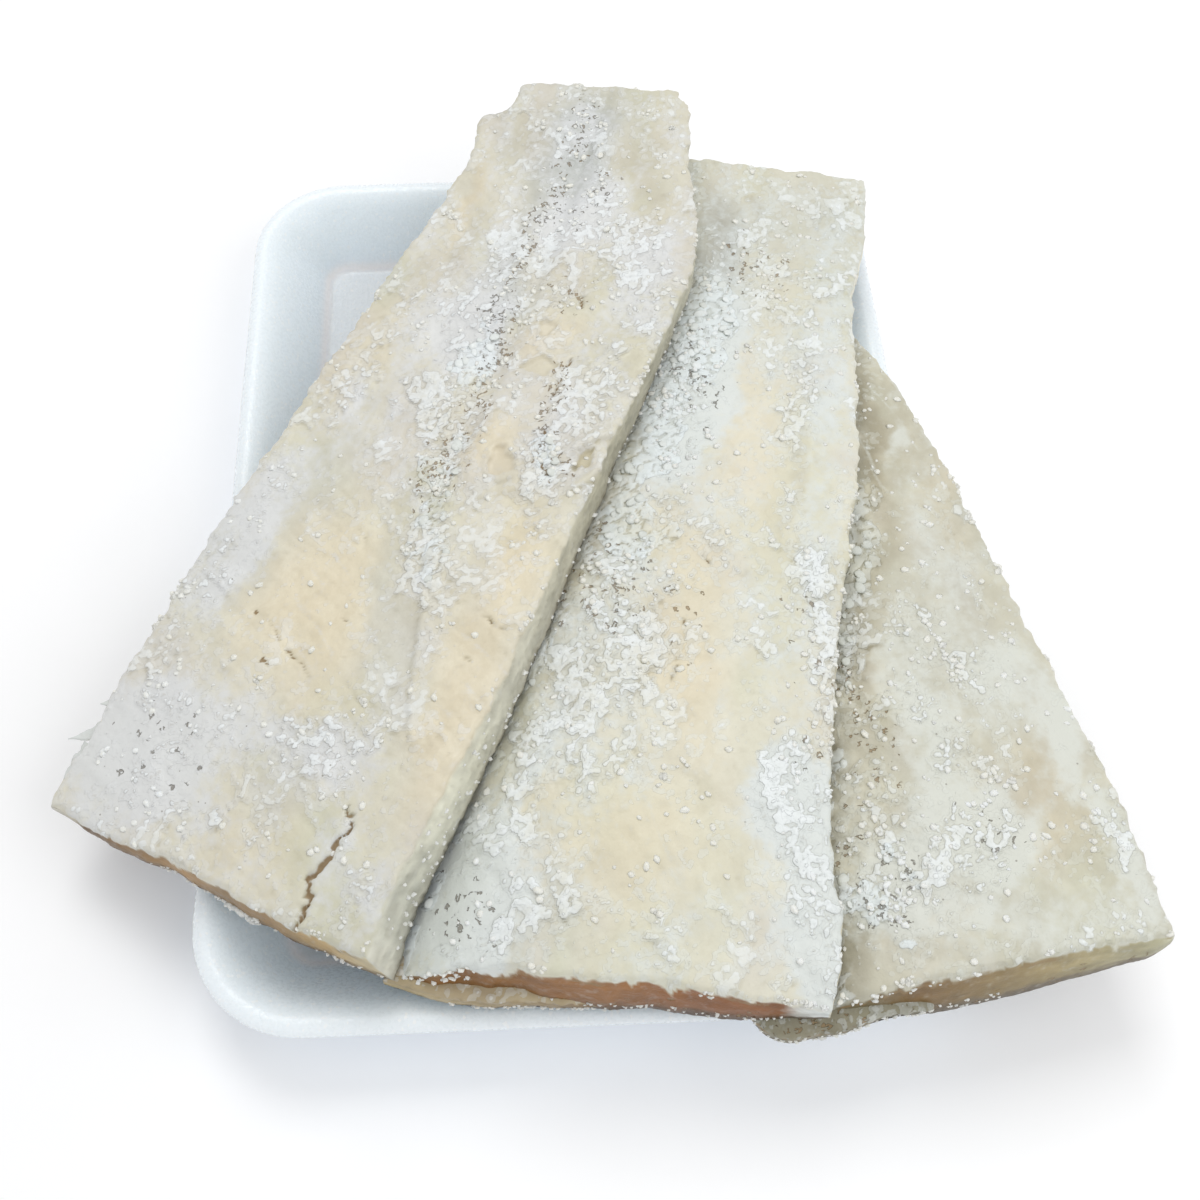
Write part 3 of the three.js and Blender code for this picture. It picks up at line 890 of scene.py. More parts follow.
@dataclass
class Slab:
    """A four-sided slab whose edges are smooth curves.

    The edges go through points of x, y, height of the top, and thickness. Near and far run
    from left to right, with the corners. Left and right run from near to far, without them.
    """

    seed: int
    near: Rows
    far: Rows
    left: Rows = field(default_factory=list)
    right: Rows = field(default_factory=list)
    near_flare: float = 0.0
    right_flare: Span = (0.0, 0.0)
    ragged: float = 0.3
    ragged_scale: float = 9.0
    full_thickness: float = 15.0
    thinnest: float = 2.1
    border: float = 1.6
    rounding: float = 0.75
    outline_steps: int = 60

    def patch(self, u: Array, v: Array) -> Array:
        """Points inside the four edges, shifted sideways a little from place to place.

        Args:
            u: share of the way from near to far.
            v: share of the way from left to right, as many as u.

        Returns:
            Rows of x, y, top and thickness.
        """
        near, far = along(self.near, v), along(self.far, v)
        left = along([self.near[0], *self.left, self.far[0]], u)
        right = along([self.near[-1], *self.right, self.far[-1]], u)
        near_left, near_right = np.array(self.near[0]), np.array(self.near[-1])
        far_left, far_right = np.array(self.far[0]), np.array(self.far[-1])
        u, v = u[..., None], v[..., None]
        made = near * (1 - u) + far * u + left * (1 - v) + right * v
        made = made - (near_left * (1 - v) + near_right * v) * (1 - u)
        made = made - (far_left * (1 - v) + far_right * v) * u
        x, y = made[..., 0].copy(), made[..., 1].copy()
        made[..., 0] += self.ragged * noise(x, y, self.ragged_scale, self.seed)
        made[..., 1] += self.ragged * noise(x, y, self.ragged_scale, self.seed + 1)
        return made

    def foot(self, u: Array, v: Array, made: Array) -> tuple[Array, Array]:
        """Where the underside's points lie in plan, pushed out by the flare of the walls.

        Args:
            u: share of the way from near to far.
            v: share of the way from left to right.
            made: the patch there.

        Returns:
            The points' x and y, in mm.
        """
        share = made[..., 3] / self.full_thickness
        reach = self.right_flare[0] * (1 - u) + self.right_flare[1] * u
        x = made[..., 0] + share * reach * v**6
        y = made[..., 1] - share * self.near_flare * (1 - u) ** 24
        return x, y

    def underside(self, made: Array, rest: Array) -> Array:
        """Heights of the underside in mm, from points of the patch and what lies below them."""
        top, thickness = made[..., 2], made[..., 3]
        return np.maximum(top - thickness, np.minimum(rest, top - self.thinnest))

    def outline(self) -> Array:
        """The foot's outline, all the way round.

        Returns:
            Rows of x and y.
        """
        run = np.linspace(0, 1, self.outline_steps, endpoint=False)
        zero, one = 0 * run, 0 * run + 1
        u = np.concatenate([zero, run, one, 1 - run])
        v = np.concatenate([run, one, 1 - run, zero])
        x, y = self.foot(u, v, self.patch(u, v))
        return np.stack([x, y], axis=-1)


class Supports:
    """The CAD nodes that a loin lies on."""

    def __init__(self, names: list[str]) -> None:
        """Makes a search tree of each node.

        Args:
            names: the nodes' names.
        """
        self.trees = []
        for name in names:
            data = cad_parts[name].data
            corners = [corner.co / MM for corner in data.vertices]
            faces = [face.vertices for face in data.polygons]
            self.trees.append(BVHTree.FromPolygons(corners, faces))

    def height(self, x: Array, y: Array, reaches: tuple[float, ...]) -> Array:
        """Feels for the highest support round each place.

        Args:
            x: across, in mm.
            y: along, in mm.
            reaches: how far round each place to feel, in mm.

        Returns:
            Heights in mm, very low where nothing is below.
        """
        found = np.full(len(x), -1e6)
        down = Vector((0, 0, -1))
        for reach in reaches:
            for turn in range(6 if reach else 1):
                angle = turn * math.pi / 3
                shift_x, shift_y = reach * math.cos(angle), reach * math.sin(angle)
                for i in range(len(x)):
                    start = Vector((x[i] + shift_x, y[i] + shift_y, 200))
                    for tree in self.trees:
                        hit = tree.ray_cast(start, down)[0]
                        if hit is not None and hit.z > found[i]:
                            found[i] = hit.z
        return found


class Top:
    """A loin's top as grids with one value for each corner of its mesh."""

    def __init__(self, loin: Loin, above: list[Slab]) -> None:
        """Works out the top: its relief, salt, cracks and colours.

        Args:
            loin: the loin.
            above: the slabs of the loins that lie on it.
        """
        self.loin = loin
        u, v = np.meshgrid(
            np.linspace(0, 1, loin.rows), np.linspace(0, 1, loin.columns), indexing="ij"
        )
        base = loin.slab.patch(u, v)
        x, y, height, thickness = (base[..., i].copy() for i in range(4))
        self.at = at = Places(x, y, loin.slab.seed)
        self.tear_edge()
        self.warped = at.x + 7 * at.rough(15, 50, 4), at.y + 8 * at.rough(15, 51, 4)
        self.find_cover(above)
        drop = np.minimum(loin.slab.rounding, 0.3 * thickness)
        bend = 1 - np.minimum(self.edge / loin.slab.border, 1)
        self.z = height + self.swell() - drop * (1 - np.sqrt(np.maximum(1 - bend**2, 0)))
        self.lay_flakes()
        self.grow_crystals()
        self.comb_fibres()
        self.cut_cracks()
        self.press_dents()
        self.raise_folds()
        self.z = self.z + self.lift * self.free
        self.looks = {
            "tint": self.tint(), "crust": self.crust, "crisp": self.crisp, "film": self.film(),
            "grain": self.grain, "lump": self.lump, "fissure": self.fissure,
            "hollow_shade": self.hollow_shade(), "dark": self.dark,
        }

    def zone(self, kind: Kind) -> Array:
        """How strongly one kind of zone holds at each place.

        Args:
            kind: the kind of zone.

        Returns:
            Shares from 0, and above 1 where zones overlap.
        """
        total = np.zeros_like(self.at.x)
        for zone in self.loin.zones:
            if zone.kind is kind:
                total = total + zone.share(*self.warped)
        return total

    def tear_edge(self) -> None:
        """Measures the distance to the edge, and pulls the places near it to and fro."""
        at = self.at
        step_u = np.hypot(np.diff(at.x, axis=0), np.diff(at.y, axis=0))
        step_v = np.hypot(np.diff(at.x, axis=1), np.diff(at.y, axis=1))
        from_near = np.pad(np.cumsum(step_u, axis=0), ((1, 0), (0, 0)))
        from_left = np.pad(np.cumsum(step_v, axis=1), ((0, 0), (1, 0)))
        gaps = [from_near, from_near[-1:] - from_near, from_left, from_left[:, -1:] - from_left]
        self.edge = np.minimum.reduce(gaps)
        torn = np.exp(-self.edge / 2.2)
        at.x += torn * (0.55 * at.wave(3.1, 80) + 0.5 * at.wave(1.4, 81))
        at.y += torn * (0.55 * at.wave(3.1, 82) + 0.5 * at.wave(1.4, 83))

    def find_cover(self, above: list[Slab]) -> None:
        """Finds what is free, what lies in the shade of another loin, and the narrow gap at its
        foot, which is painted dark as shade.

        Args:
            above: the slabs of the loins that lie on this one.
        """
        at = self.at
        covered = np.full(at.x.shape, 9.0)
        for upper in above:
            covered = np.minimum(covered, outside_of(at.x, at.y, upper.outline()))
        self.free = smooth(-0.6, 1.2, covered)
        away = np.maximum(covered, 0)
        self.contact = np.exp(-((away / self.loin.shade_reach) ** 2)) if above else 0 * at.x
        self.gap = np.exp(-((away / 0.7) ** 2)) if above else 0 * at.x
        narrow = smooth(-110, -20, at.y) * 0.45
        self.gap *= smooth(-0.3, 0.3, at.rough(8, 88) + 0.1 - narrow)

    def swell(self) -> Array:
        """The low swell of the top and the furrow along the lateral line.

        Returns:
            Heights in mm.
        """
        loin, at = self.loin, self.at
        height = loin.swell * at.wave(loin.swell_scale, 2)
        height += loin.rise * at.wave(loin.rise_scale, 3)
        if loin.furrow:
            path, depth, width = loin.furrow
            away, _ = to_line(at.x, at.y, path)
            height = height - depth * np.exp(-((away / width) ** 2))
        return height

    def lay_flakes(self) -> None:
        """Lays flakes of salt on the flesh: above 0 of crust is salt, above 0.42 two layers."""
        loin, at = self.loin, self.at
        torn = Places(
            at.x + 0.9 * at.wave(3.3, 60) + 0.45 * at.wave(1.2, 62),
            at.y + 0.9 * at.wave(3.3, 61) + 0.45 * at.wave(1.2, 63),
            at.seed,
        )
        large = cells(torn.x * 1.15, torn.y * 0.9, 5.4, at.seed + 64)
        small = cells(torn.x, torn.y, 2.3, at.seed + 68)
        bent_x, bent_y = at.x + 0.35 * at.wave(2.1, 76), at.y + 0.35 * at.wave(2.1, 77)
        lobe = cells(bent_x, bent_y, 2.2, at.seed + 78)
        crust = 0.36 * torn.rough(12, 72)
        crust += 0.36 * torn.rough(4.6, 73)
        crust += 0.56 * (large.name - 0.5) + 0.18 * (small.name - 0.5) + 0.8 * (0.42 - lobe.near)
        crust += loin.crust_level + 0.52 * self.zone(Kind.CRUST)
        crust -= 0.5 * self.zone(Kind.BARE) + 0.3 * self.zone(Kind.FILM)
        patch = smooth(0.0, 0.06, crust)
        slope = 0.26 * large.tilt * (0.3 + 0.7 * patch) + 0.2 * small.tilt * (0.2 + 0.8 * patch)
        crisp = 0.42 + 0.4 * at.rough(14, 41)
        for kind, share in CRISPNESS.items():
            crisp = crisp + share * self.zone(kind)
        crisp = np.clip(crisp, 0.05, 1) * (1 - 0.6 * smooth(30, 115, at.y))
        self.crust, self.crisp, self.tone = crust, crisp, 0.65 * large.name + 0.35 * small.name
        self.patches = smooth(-0.03, 0.1, crust)
        lift = loin.flake * self.patches + loin.thick_flake * smooth(0.38, 0.5, crust)
        self.lift = lift * (0.35 + 0.65 * crisp) + slope * (0.2 + 0.8 * crisp)
        self.lift += 0.05 * at.rough(1.4, 90)

    def grow_crystals(self) -> None:
        """Grows rounded crystals side by side."""
        at, dense = self.at, self.zone(Kind.CRYSTALS)
        grain = np.clip(dense + 0.4 * self.contact * smooth(25, -10, at.y), 0, 1)
        grain = np.clip(grain + 0.5 * at.rough(6, 91) * (grain > 0.1), 0, 1)
        self.grain = smooth(0.22, 0.5, grain)
        bent_x, bent_y = at.x + 0.7 * at.wave(2.4, 93), at.y + 0.7 * at.wave(2.4, 87)
        scales = cells(bent_x, bent_y, 2.9, at.seed + 92)
        # lump drops in a crescent on each crystal's low side next to its neighbour's raised edge,
        # where the shader paints shadow.
        lump = 1 - smooth(0.2, 0.03, scales.edge) * smooth(0.1, -0.3, scales.tilt)
        self.lump = lump * (0.5 + 0.5 * scales.name)
        step = 0.38 * scales.tilt + 0.14 * scales.name + 0.1 * smooth(0, 0.15, scales.edge)
        self.lift = self.lift * (1 - 0.5 * self.grain) + self.grain * step
        self.lift += 0.16 * at.rough(3.1, 89)

    def comb_fibres(self) -> None:
        """Lines the flesh with fine fibres, and with wider bands where it is bare."""
        at = self.at
        run, cross = rotated(at.x, at.y, math.radians(self.loin.fibre_turn))
        cross = cross + 1.5 * at.wave(12, 95)
        fibres = rough_noise(run / 9, cross, 1.5, at.seed + 94, 2)
        self.lift += 0.12 * fibres * (1 - 0.7 * self.patches)
        bands = np.abs((cross + 3 * at.wave(26, 85)) / 7.5 % 1 - 0.5)
        bands = smooth(0.41, 0.49, bands) * smooth(-0.1, 0.4, at.wave(8, 86))
        self.bands = bands * np.clip(self.zone(Kind.BARE), 0, 1)
        self.lift -= 0.08 * self.bands

    def cut_cracks(self) -> None:
        """Cuts the cracks, and marks where short ones lie close together."""
        loin, at = self.loin, self.at
        self.dark = np.zeros_like(at.x)
        self.fissure = 0.9 * self.zone(Kind.CRACKED)
        for crack in loin.cracks:
            jagged = 0 if crack.dashed else 1
            bent_x = at.x + 0.9 * at.wave(2.6, 97)
            bent_y = at.y + 0.9 * at.wave(2.6, 98)
            bent_x += (0.5 + 0.45 * jagged) * at.wave(1.25, 99)
            bent_y += 0.8 * jagged * at.wave(1.25, 79)
            away, run = to_line(bent_x, bent_y, crack.path)
            width = crack.width * (0.2 + 0.8 * np.sin(math.pi * np.clip(run, 0.02, 0.98)))
            inside = np.exp(-((away / np.maximum(width, loin.finest_crack)) ** 2))
            inside = inside * np.minimum(width / loin.finest_crack, 1)
            if crack.dashed:
                inside *= smooth(-0.2, 0.2, at.wave(2.3, 96))
            self.lift -= crack.depth * inside
            # dark rises towards the middle of each crack: the torn flesh's brown with painted shade
            # in the slit.
            self.dark = np.maximum(self.dark, crack.darkness * inside)
        for line in loin.pit_lines:
            away, _ = to_line(at.x + 2 * at.wave(7, 101), at.y, line)
            self.fissure = np.maximum(self.fissure, 1.1 * np.exp(-((away / 3.0) ** 2)))

    def press_dents(self) -> None:
        """Presses the dents in and clears them of salt."""
        at = self.at
        self.dent_tint = np.ones((*at.x.shape, 1)) * np.array(self.loin.flesh)
        self.dented = np.zeros_like(at.x)
        for number, dent in enumerate(self.loin.dents):
            reach = dent.reach(at, 130 + 4 * number)
            inside = smooth(1.1, 0.78, reach)
            self.lift = self.lift * (1 - 0.8 * inside) - dent.depth * inside * (1.2 - 0.5 * reach)
            self.lift += 0.3 * np.exp(-(((reach - 1.12) / 0.16) ** 2))
            here = (inside > 0.01)[..., None]
            self.dent_tint = np.where(here, np.array(dent.tone), self.dent_tint)
            self.dented = np.maximum(self.dented, inside)
        self.crust = self.crust * (1 - self.dented) - 0.5 * self.dented
        self.fissure = self.fissure * (1 - self.dented)

    def raise_folds(self) -> None:
        """Raises the folds, and the step where the thick loin meets the thin flank."""
        loin, at = self.loin, self.at
        for fold in loin.folds:
            away, run = to_line(at.x + 0.8 * at.wave(3, 150), at.y, fold.path)
            ends = np.sqrt(np.clip(4 * run * (1 - run), 0, 1))
            self.lift += fold.height * ends * np.exp(-((away / fold.width) ** 2))
        if loin.seam:
            path, height = loin.seam
            away, run = to_line(at.x, at.y, path)
            side = np.sign(at.x - np.interp(at.y, *np.array(path)[::-1].T[::-1]))
            jagged = side * away + 1.2 * at.rough(5, 103)
            fade = smooth(0, 0.12, run) * smooth(1, 0.88, run)
            step = smooth(-0.35, 0.35, jagged) * np.exp(-np.maximum(jagged, 0) / 14)
            self.lift += height * step * fade

    def hollow_shade(self) -> Array:
        """How far each place lies below those round it, or in the lee of a step towards the far
        left, for painted shade.

        Returns:
            Numbers from 0 to about 1.
        """
        soft = softened(self.lift, 6)
        softer = softened(soft, 30)
        beyond = np.roll(self.lift, (-2, 1), (0, 1))
        beyond[-2:], beyond[:, :1] = self.lift[-2:], self.lift[:, :1]
        sunk = np.clip((soft - self.lift) * 0.8, 0, 0.4) + np.clip((softer - soft) * 0.6, 0, 0.4)
        sunk = (sunk + 1.2 * np.clip(beyond - self.lift - 0.06, 0, 0.5)) * (1 - 0.55 * self.grain)
        return sunk * self.free * (1 - 0.6 * self.dented)

    def film(self) -> Array:
        """How thick the film of salt is, with long streaks.

        Returns:
            Numbers from 0 to 1.
        """
        at = self.at
        wide_x, wide_y = at.x + 6 * at.wave(15, 106), at.y + 6 * at.wave(15, 107)
        run, cross = rotated(wide_y, wide_x, 0.35)
        streaks = rough_noise(cross, run / 2.2, 9, at.seed + 108, 4)
        film = 0.9 * self.zone(Kind.FILM) + 0.3 * self.zone(Kind.CRUST) + 0.65 * streaks
        film = film + 0.08 - 0.4 * self.zone(Kind.WARM)
        return np.clip(np.maximum(film, 0.45 * self.bands) * (1 - self.dented), 0, 1)

    def tint(self) -> Array:
        """The flesh's colour, with slow drifts, zones, dents and shade.

        Returns:
            One colour for each place.
        """
        loin, at = self.loin, self.at
        tint = np.empty((*at.x.shape, 3))
        tint[:] = loin.flesh
        for number, cast in enumerate(CASTS):
            drift = rough_noise(at.x, at.y / 1.6, 17, at.seed + 105 + 7 * number)
            tint *= 1 + (np.array(cast) - 1) * smooth(-0.05, 0.5, drift)[..., None]
        for kind, colour in TONES.items():
            tint = mixed(tint, np.array(colour), np.clip(self.zone(kind), 0, 1)[..., None])
        tint *= 1 + 0.10 * (self.tone - 0.5)[..., None] * np.array([0.8, 1.0, 1.3])
        tint *= 1 - 0.06 * smooth(0, 110, at.y)[..., None]
        tint = mixed(tint, self.dent_tint, 0.55 * self.dented[..., None])
        shaded = loin.shade_share * self.contact * smooth(-0.9, 0.2, at.rough(5, 84))
        # Painted shade beside the loins above, darkest in the narrow gap at their foot.
        for share, colour in ((shaded, loin.shade), (0.85 * self.gap, loin.gap_shade_tone)):
            tint = mixed(tint, np.array(colour), (share * self.free)[..., None])
        return tint


class Walls:
    """The walls of a loin, from the border of its top down to its foot."""

    def __init__(self, loin: Loin, top: Top, supports: Supports) -> None:
        """Works out the walls, row by row from the top edge down.

        Args:
            loin: the loin.
            top: its finished top.
            supports: what it lies on.
        """
        self.loin, slab = loin, loin.slab
        self.side, self.run = border_places(top.z.shape)
        u = np.choose(self.side, [0 * self.run, self.run, 0 * self.run + 1, 1 - self.run])
        v = np.choose(self.side, [self.run, 0 * self.run + 1, 1 - self.run, 0 * self.run])
        base = slab.patch(u, v)
        rag = np.stack([border(top.at.x) - base[:, 0], border(top.at.y) - base[:, 1]])
        calm = np.mean([np.roll(rag, shift, axis=1) for shift in range(-9, 10)], axis=0)
        self.rag = rag - calm
        self.edge = base[:, :2].T + calm
        self.foot = np.stack(slab.foot(u, v, base)) + calm
        rest = supports.height(*self.foot, (0.0, 1.4)) + 0.1
        foot_z = slab.underside(base, rest)
        self.edge_z = border(top.z)
        self.height = self.edge_z - np.minimum(foot_z, self.edge_z - 0.6)

        step = self.foot - np.roll(self.foot, 1, axis=1)
        self.arc = np.cumsum(np.hypot(*step))
        across, deep = np.roll(self.foot, -1, axis=1) - np.roll(self.foot, 1, axis=1)
        out = np.stack([softened(way[:, None], 6)[:, 0] for way in (deep, -across)])
        self.out = out / np.maximum(np.hypot(*out), 1e-6)
        rim = Places(self.arc, 0 * self.arc, slab.seed)
        drip = 0.03 + 0.5 * np.maximum(rim.rough(4.5, 123), 0) ** 2
        self.drip = drip + 0.1 * np.maximum(rim.wave(1.5, 127), 0)
        self.dashes = smooth(-0.1, 0.4, rim.wave(9, 128))
        self.rim = {key: border(grid) for key, grid in top.looks.items()}
        self.points: list[Array] = []
        self.looks: dict[str, list[Array]] = {key: [] for key in top.looks}
        for row in range(loin.wall_rows):
            self.add_row(0.03 + 0.97 * (row / (loin.wall_rows - 1)) ** 1.15)

    def add_row(self, down: float) -> None:
        """Adds a row of points with their looks.

        Args:
            down: share of the way from the top edge to the foot.
        """
        loin, rim, near = self.loin, self.rim, self.side == 0
        level = down * self.height
        at = Places(self.arc, level, loin.slab.seed)
        crumb = 0.22 * at.rough(2.2, 120)
        crumb += 0.30 * Places(at.x, level * 1.6, at.seed).rough(1.1, 121, 2)
        crumb += 0.16 * Places(at.x / 4, level, at.seed).rough(1.6, 122, 2)
        crumb *= np.where(self.side == 1, loin.wall_rough[1], loin.wall_rough[0])
        belly = math.sin(math.pi * min(down * 1.02, 1.0)) ** 0.8
        amount = (0.5 * belly + crumb * min(down * 3, 1.0)) * np.minimum(self.height / 9, 1)
        flat = self.edge * (1 - down) + self.foot * down
        flat = flat + self.rag * math.exp(-down / 0.12) + self.out * amount
        self.points.append(np.stack([*flat, self.edge_z - level], axis=-1))

        fade = smooth(0.0, 0.06, down - np.where(near, self.drip, 0.0))
        line = self.dashes * np.exp(-(((down - self.drip - 0.09) / 0.05) ** 2))
        # Painted shade in the deepest recesses of the crumbly wall.
        pits = np.clip(-crumb - 0.3, 0, 0.4) * min(down * 2, 1.0) * (self.side != 1)
        grain = smooth(0.1, 0.5, at.rough(7, 125)) * (self.side != 0)
        row = {
            "tint": mixed(rim["tint"], self.tint(down), fade[:, None]),
            "crust": mixed(rim["crust"], 0.6 * at.rough(2.8, 124) - 1.1, fade),
            "crisp": 0.5 * (1 - fade) * rim["crisp"] + 0.35,
            "film": rim["film"] * (1 - fade),
            "grain": 0.5 * grain * (down > 0.75),
            "lump": 0.5 + 0.5 * at.wave(1.3, 129),
            "fissure": loin.wall_pits * near * smooth(0.3, 0.9, down),
            # Painted shade in the crumbs' recesses and towards the foot.
            "hollow_shade": np.clip(-0.9 * crumb, 0, 0.6) + 0.3 * smooth(0.82, 1.0, down),
            "dark": 0.55 * line * near + pits,
        }
        for key, values in row.items():
            self.looks[key].append(values)

    def tint(self, down: float) -> Array:
        """Colour of a row: the tones along the wall, streaks, and dark skin mixed with painted
        shade near the foot.

        Args:
            down: share of the way from the top edge to the foot.

        Returns:
            One colour for each point.
        """
        loin, seed = self.loin, self.loin.slab.seed
        (x, y), flat = self.foot, 0 * self.arc
        made = np.empty((len(flat), 3))
        made[:] = loin.other_tone
        run = self.run + 0.016 * rough_noise(x / 2, flat + 9 * down, 1.7, seed + 112)
        for side, tones in enumerate((loin.near_tones, loin.right_tones)):
            here = self.side == side
            shares = [share for share, _ in tones]
            for channel, levels in enumerate(zip(*(colour for _, colour in tones))):
                made[here, channel] = np.interp(run[here], shares, levels)
        streak = 0.5 + 0.5 * rough_noise((x + y) / 5, flat + 9 * down, 1.5, seed + 110)
        fine = noise((x + y) / 1.6, flat + 16 * down, 1.0, seed + 111)
        # The wall darkens towards the foot, and near the foot the skin tone is mixed in, partly as
        # painted shade.
        made *= (0.74 + 0.6 * streak + 0.1 * fine - 0.16 * down)[:, None]
        low = smooth(0.64, 0.9, down + 0.4 * (streak - 0.5))
        low = low * np.where(self.side == 0, 0.92, 0.15)
        return mixed(made, np.array(loin.skin_and_foot_shade_tone), low[:, None])


@dataclass
class Loin:
    """One salted cod loin: a fine mesh of its top, walls and underside."""

    name: str
    node: str
    slot: str
    slab: Slab
    rests_on: list[str]
    zones: list[Zone]
    flesh: Colour
    crust_level: float = -0.1
    swell: float = 0.6
    swell_scale: float = 17.0
    rise: float = 0.5
    rise_scale: float = 7.0
    flake: float = 0.27
    thick_flake: float = 0.26
    furrow: tuple[Rows, float, float] | None = None
    pit_lines: list[Rows] = field(default_factory=list)
    cracks: list[Crack] = field(default_factory=list)
    finest_crack: float = 0.34
    dents: list[Dent] = field(default_factory=list)
    folds: list[Fold] = field(default_factory=list)
    seam: tuple[Rows, float] | None = None
    fibre_turn: float = -45.0
    wall_rough: Span = (1.0, 0.45)
    wall_pits: float = 0.35
    shade: Colour = linear(164, 163, 146)
    shade_reach: float = 2.6
    shade_share: float = 0.4
    # Colour of the painted shade in the gap at the foot of a loin above.
    gap_shade_tone: Colour = linear(92, 90, 82)
    near_tones: list[tuple[float, Colour]] = field(default_factory=list)
    right_tones: list[tuple[float, Colour]] = field(default_factory=list)
    other_tone: Colour = linear(214, 206, 184)
    # Dark skin at the foot of the near wall and on the underside, with painted shade.
    skin_and_foot_shade_tone: Colour = linear(120, 108, 92)
    rows: int = 452
    columns: int = 158
    wall_rows: int = 13
    top: Top | None = None
    walls: Array | None = None

    def build(self, finish: SaltedFlesh, above: list[Slab]) -> bpy.types.Object:
        """Builds the loin's mesh and gives it its finish.

        Args:
            finish: the finish of the flesh.
            above: the slabs of the loins that lie on this one.

        Returns:
            The piece that replaces the loin's CAD node.
        """
        top, supports = Top(self, above), Supports(self.rests_on)
        walls, below = Walls(self, top, supports), self.underside(supports)
        self.top, self.walls = top, np.stack(walls.points)
        grid = np.arange(top.z.size).reshape(top.z.shape)
        ring, count, blocks = border(grid), grid.size, [quads(grid)]
        for _ in range(self.wall_rows):
            fresh = count + np.arange(len(ring))
            blocks.append(np.stack([ring, fresh, np.roll(fresh, -1), np.roll(ring, -1)], axis=-1))
            ring, count = fresh, count + len(ring)
        under = count + np.arange(below.shape[0] * below.shape[1]).reshape(below.shape[:2])
        blocks.append(quads(under)[:, [0, 3, 2, 1]])
        faces = np.concatenate(blocks).tolist()
        inner = np.add(*border_places(under.shape))
        faces += stitch(ring, walls.side + walls.run, border(under), inner)
        values = {}
        # The underside takes the dark skin colour and a little painted shade.
        under_looks = {"tint": self.skin_and_foot_shade_tone, "crust": -0.6, "hollow_shade": 0.3}
        for key, look in top.looks.items():
            last = np.full((under.size, *look.shape[2:]), under_looks.get(key, 0.0))
            first = look.reshape(-1, *look.shape[2:])
            values[key] = np.concatenate([first, *walls.looks[key], last])
        surface = np.stack([top.at.x, top.at.y, top.z], axis=-1)
        points = [surface.reshape(-1, 3), *walls.points, below.reshape(-1, 3)]
        replaced = (self.node,) if self.node else ()
        corners = np.concatenate(points)
        piece = make_mesh(self.name, corners, faces, replaced, values)
        piece.data.materials.append(finish.material(self.name + "_flesh"))
        return piece

    def underside(self, supports: Supports) -> Array:
        """The underside inside the walls' feet, lying on what is below.

        Args:
            supports: what the loin lies on.

        Returns:
            A grid of points in mm.
        """
        u, v = np.linspace(0.015, 0.985, 40), np.linspace(0.04, 0.96, 14)
        u, v = np.meshgrid(u, v, indexing="ij")
        base = self.slab.patch(u, v)
        x, y = self.slab.foot(u, v, base)
        rest = supports.height(x.ravel(), y.ravel(), (0.0, 4.5)).reshape(x.shape) + 0.3
        return np.stack([x, y, self.slab.underside(base, rest)], axis=-1)

    def places(self, random: Random, count: int, weight: Array) -> Array:
        """Draws places on the top.

        Args:
            random: source of random numbers.
            count: how many places.
            weight: how likely each corner of the top is to be picked.

        Returns:
            Rows of x, y, z and film.
        """
        top = self.top
        chances = weight.ravel() / weight.sum()
        picked = random.choice(len(chances), size=count, p=chances)
        row, column = np.unravel_index(picked, weight.shape)
        row = np.minimum(row, weight.shape[0] - 2)
        column = np.minimum(column, weight.shape[1] - 2)
        a, b = random.random(count), random.random(count)
        made = []
        for grid in (top.at.x, top.at.y, top.z, top.looks["film"]):
            near = grid[row, column] * (1 - b) + grid[row, column + 1] * b
            far = grid[row + 1, column] * (1 - b) + grid[row + 1, column + 1] * b
            made.append(near * (1 - a) + far * a)
        return np.stack(made, axis=-1)

    def wall_places(self, random: Random, count: int, span: Span, down: Span) -> Array:
        """Draws places on the walls.

        Args:
            random: source of random numbers.
            count: how many places.
            span: stretch of the border, counted anticlockwise from 0 at the near left corner
                with 1 at the next corner and so on.
            down: smallest and largest share of the way from the top edge to the foot.

        Returns:
            Rows of x, y, z and film.
        """
        spot = random.uniform(*span, count)
        side = spot.astype(int)
        lengths = np.array((self.columns - 1, self.rows - 1) * 2)
        index = (np.cumsum(lengths) - lengths)[side] + ((spot - side) * lengths[side]).astype(int)
        row = (random.uniform(*down, count) * (self.wall_rows - 1)).astype(int)
        return np.concatenate([self.walls[row, index], np.full((count, 1), 0.5)], axis=1)


def stitch(outer: Array, outer_place: Array, inner: Array, inner_place: Array) -> list[list[int]]:
    """Closes the gap between two rings whose points differ in number.

    Args:
        outer: corner numbers of the outer ring.
        outer_place: how far round each of them is, rising.
        inner: corner numbers of the inner ring.
        inner_place: how far round each of them is, rising.

    Returns:
        Triangles that face down.
    """
    made = []
    i = j = 0
    while i < len(outer) or j < len(inner):
        next_outer = outer_place[i + 1] if i + 1 < len(outer) else 4.0
        next_inner = inner_place[j + 1] if j + 1 < len(inner) else 4.0
        a, b = outer[i % len(outer)], inner[j % len(inner)]
        if i < len(outer) and (next_outer <= next_inner or j >= len(inner)):
            made.append([a, b, outer[(i + 1) % len(outer)]])
            i += 1
        else:
            made.append([a, b, inner[(j + 1) % len(inner)]])
            j += 1
    return made


# ---- loose salt


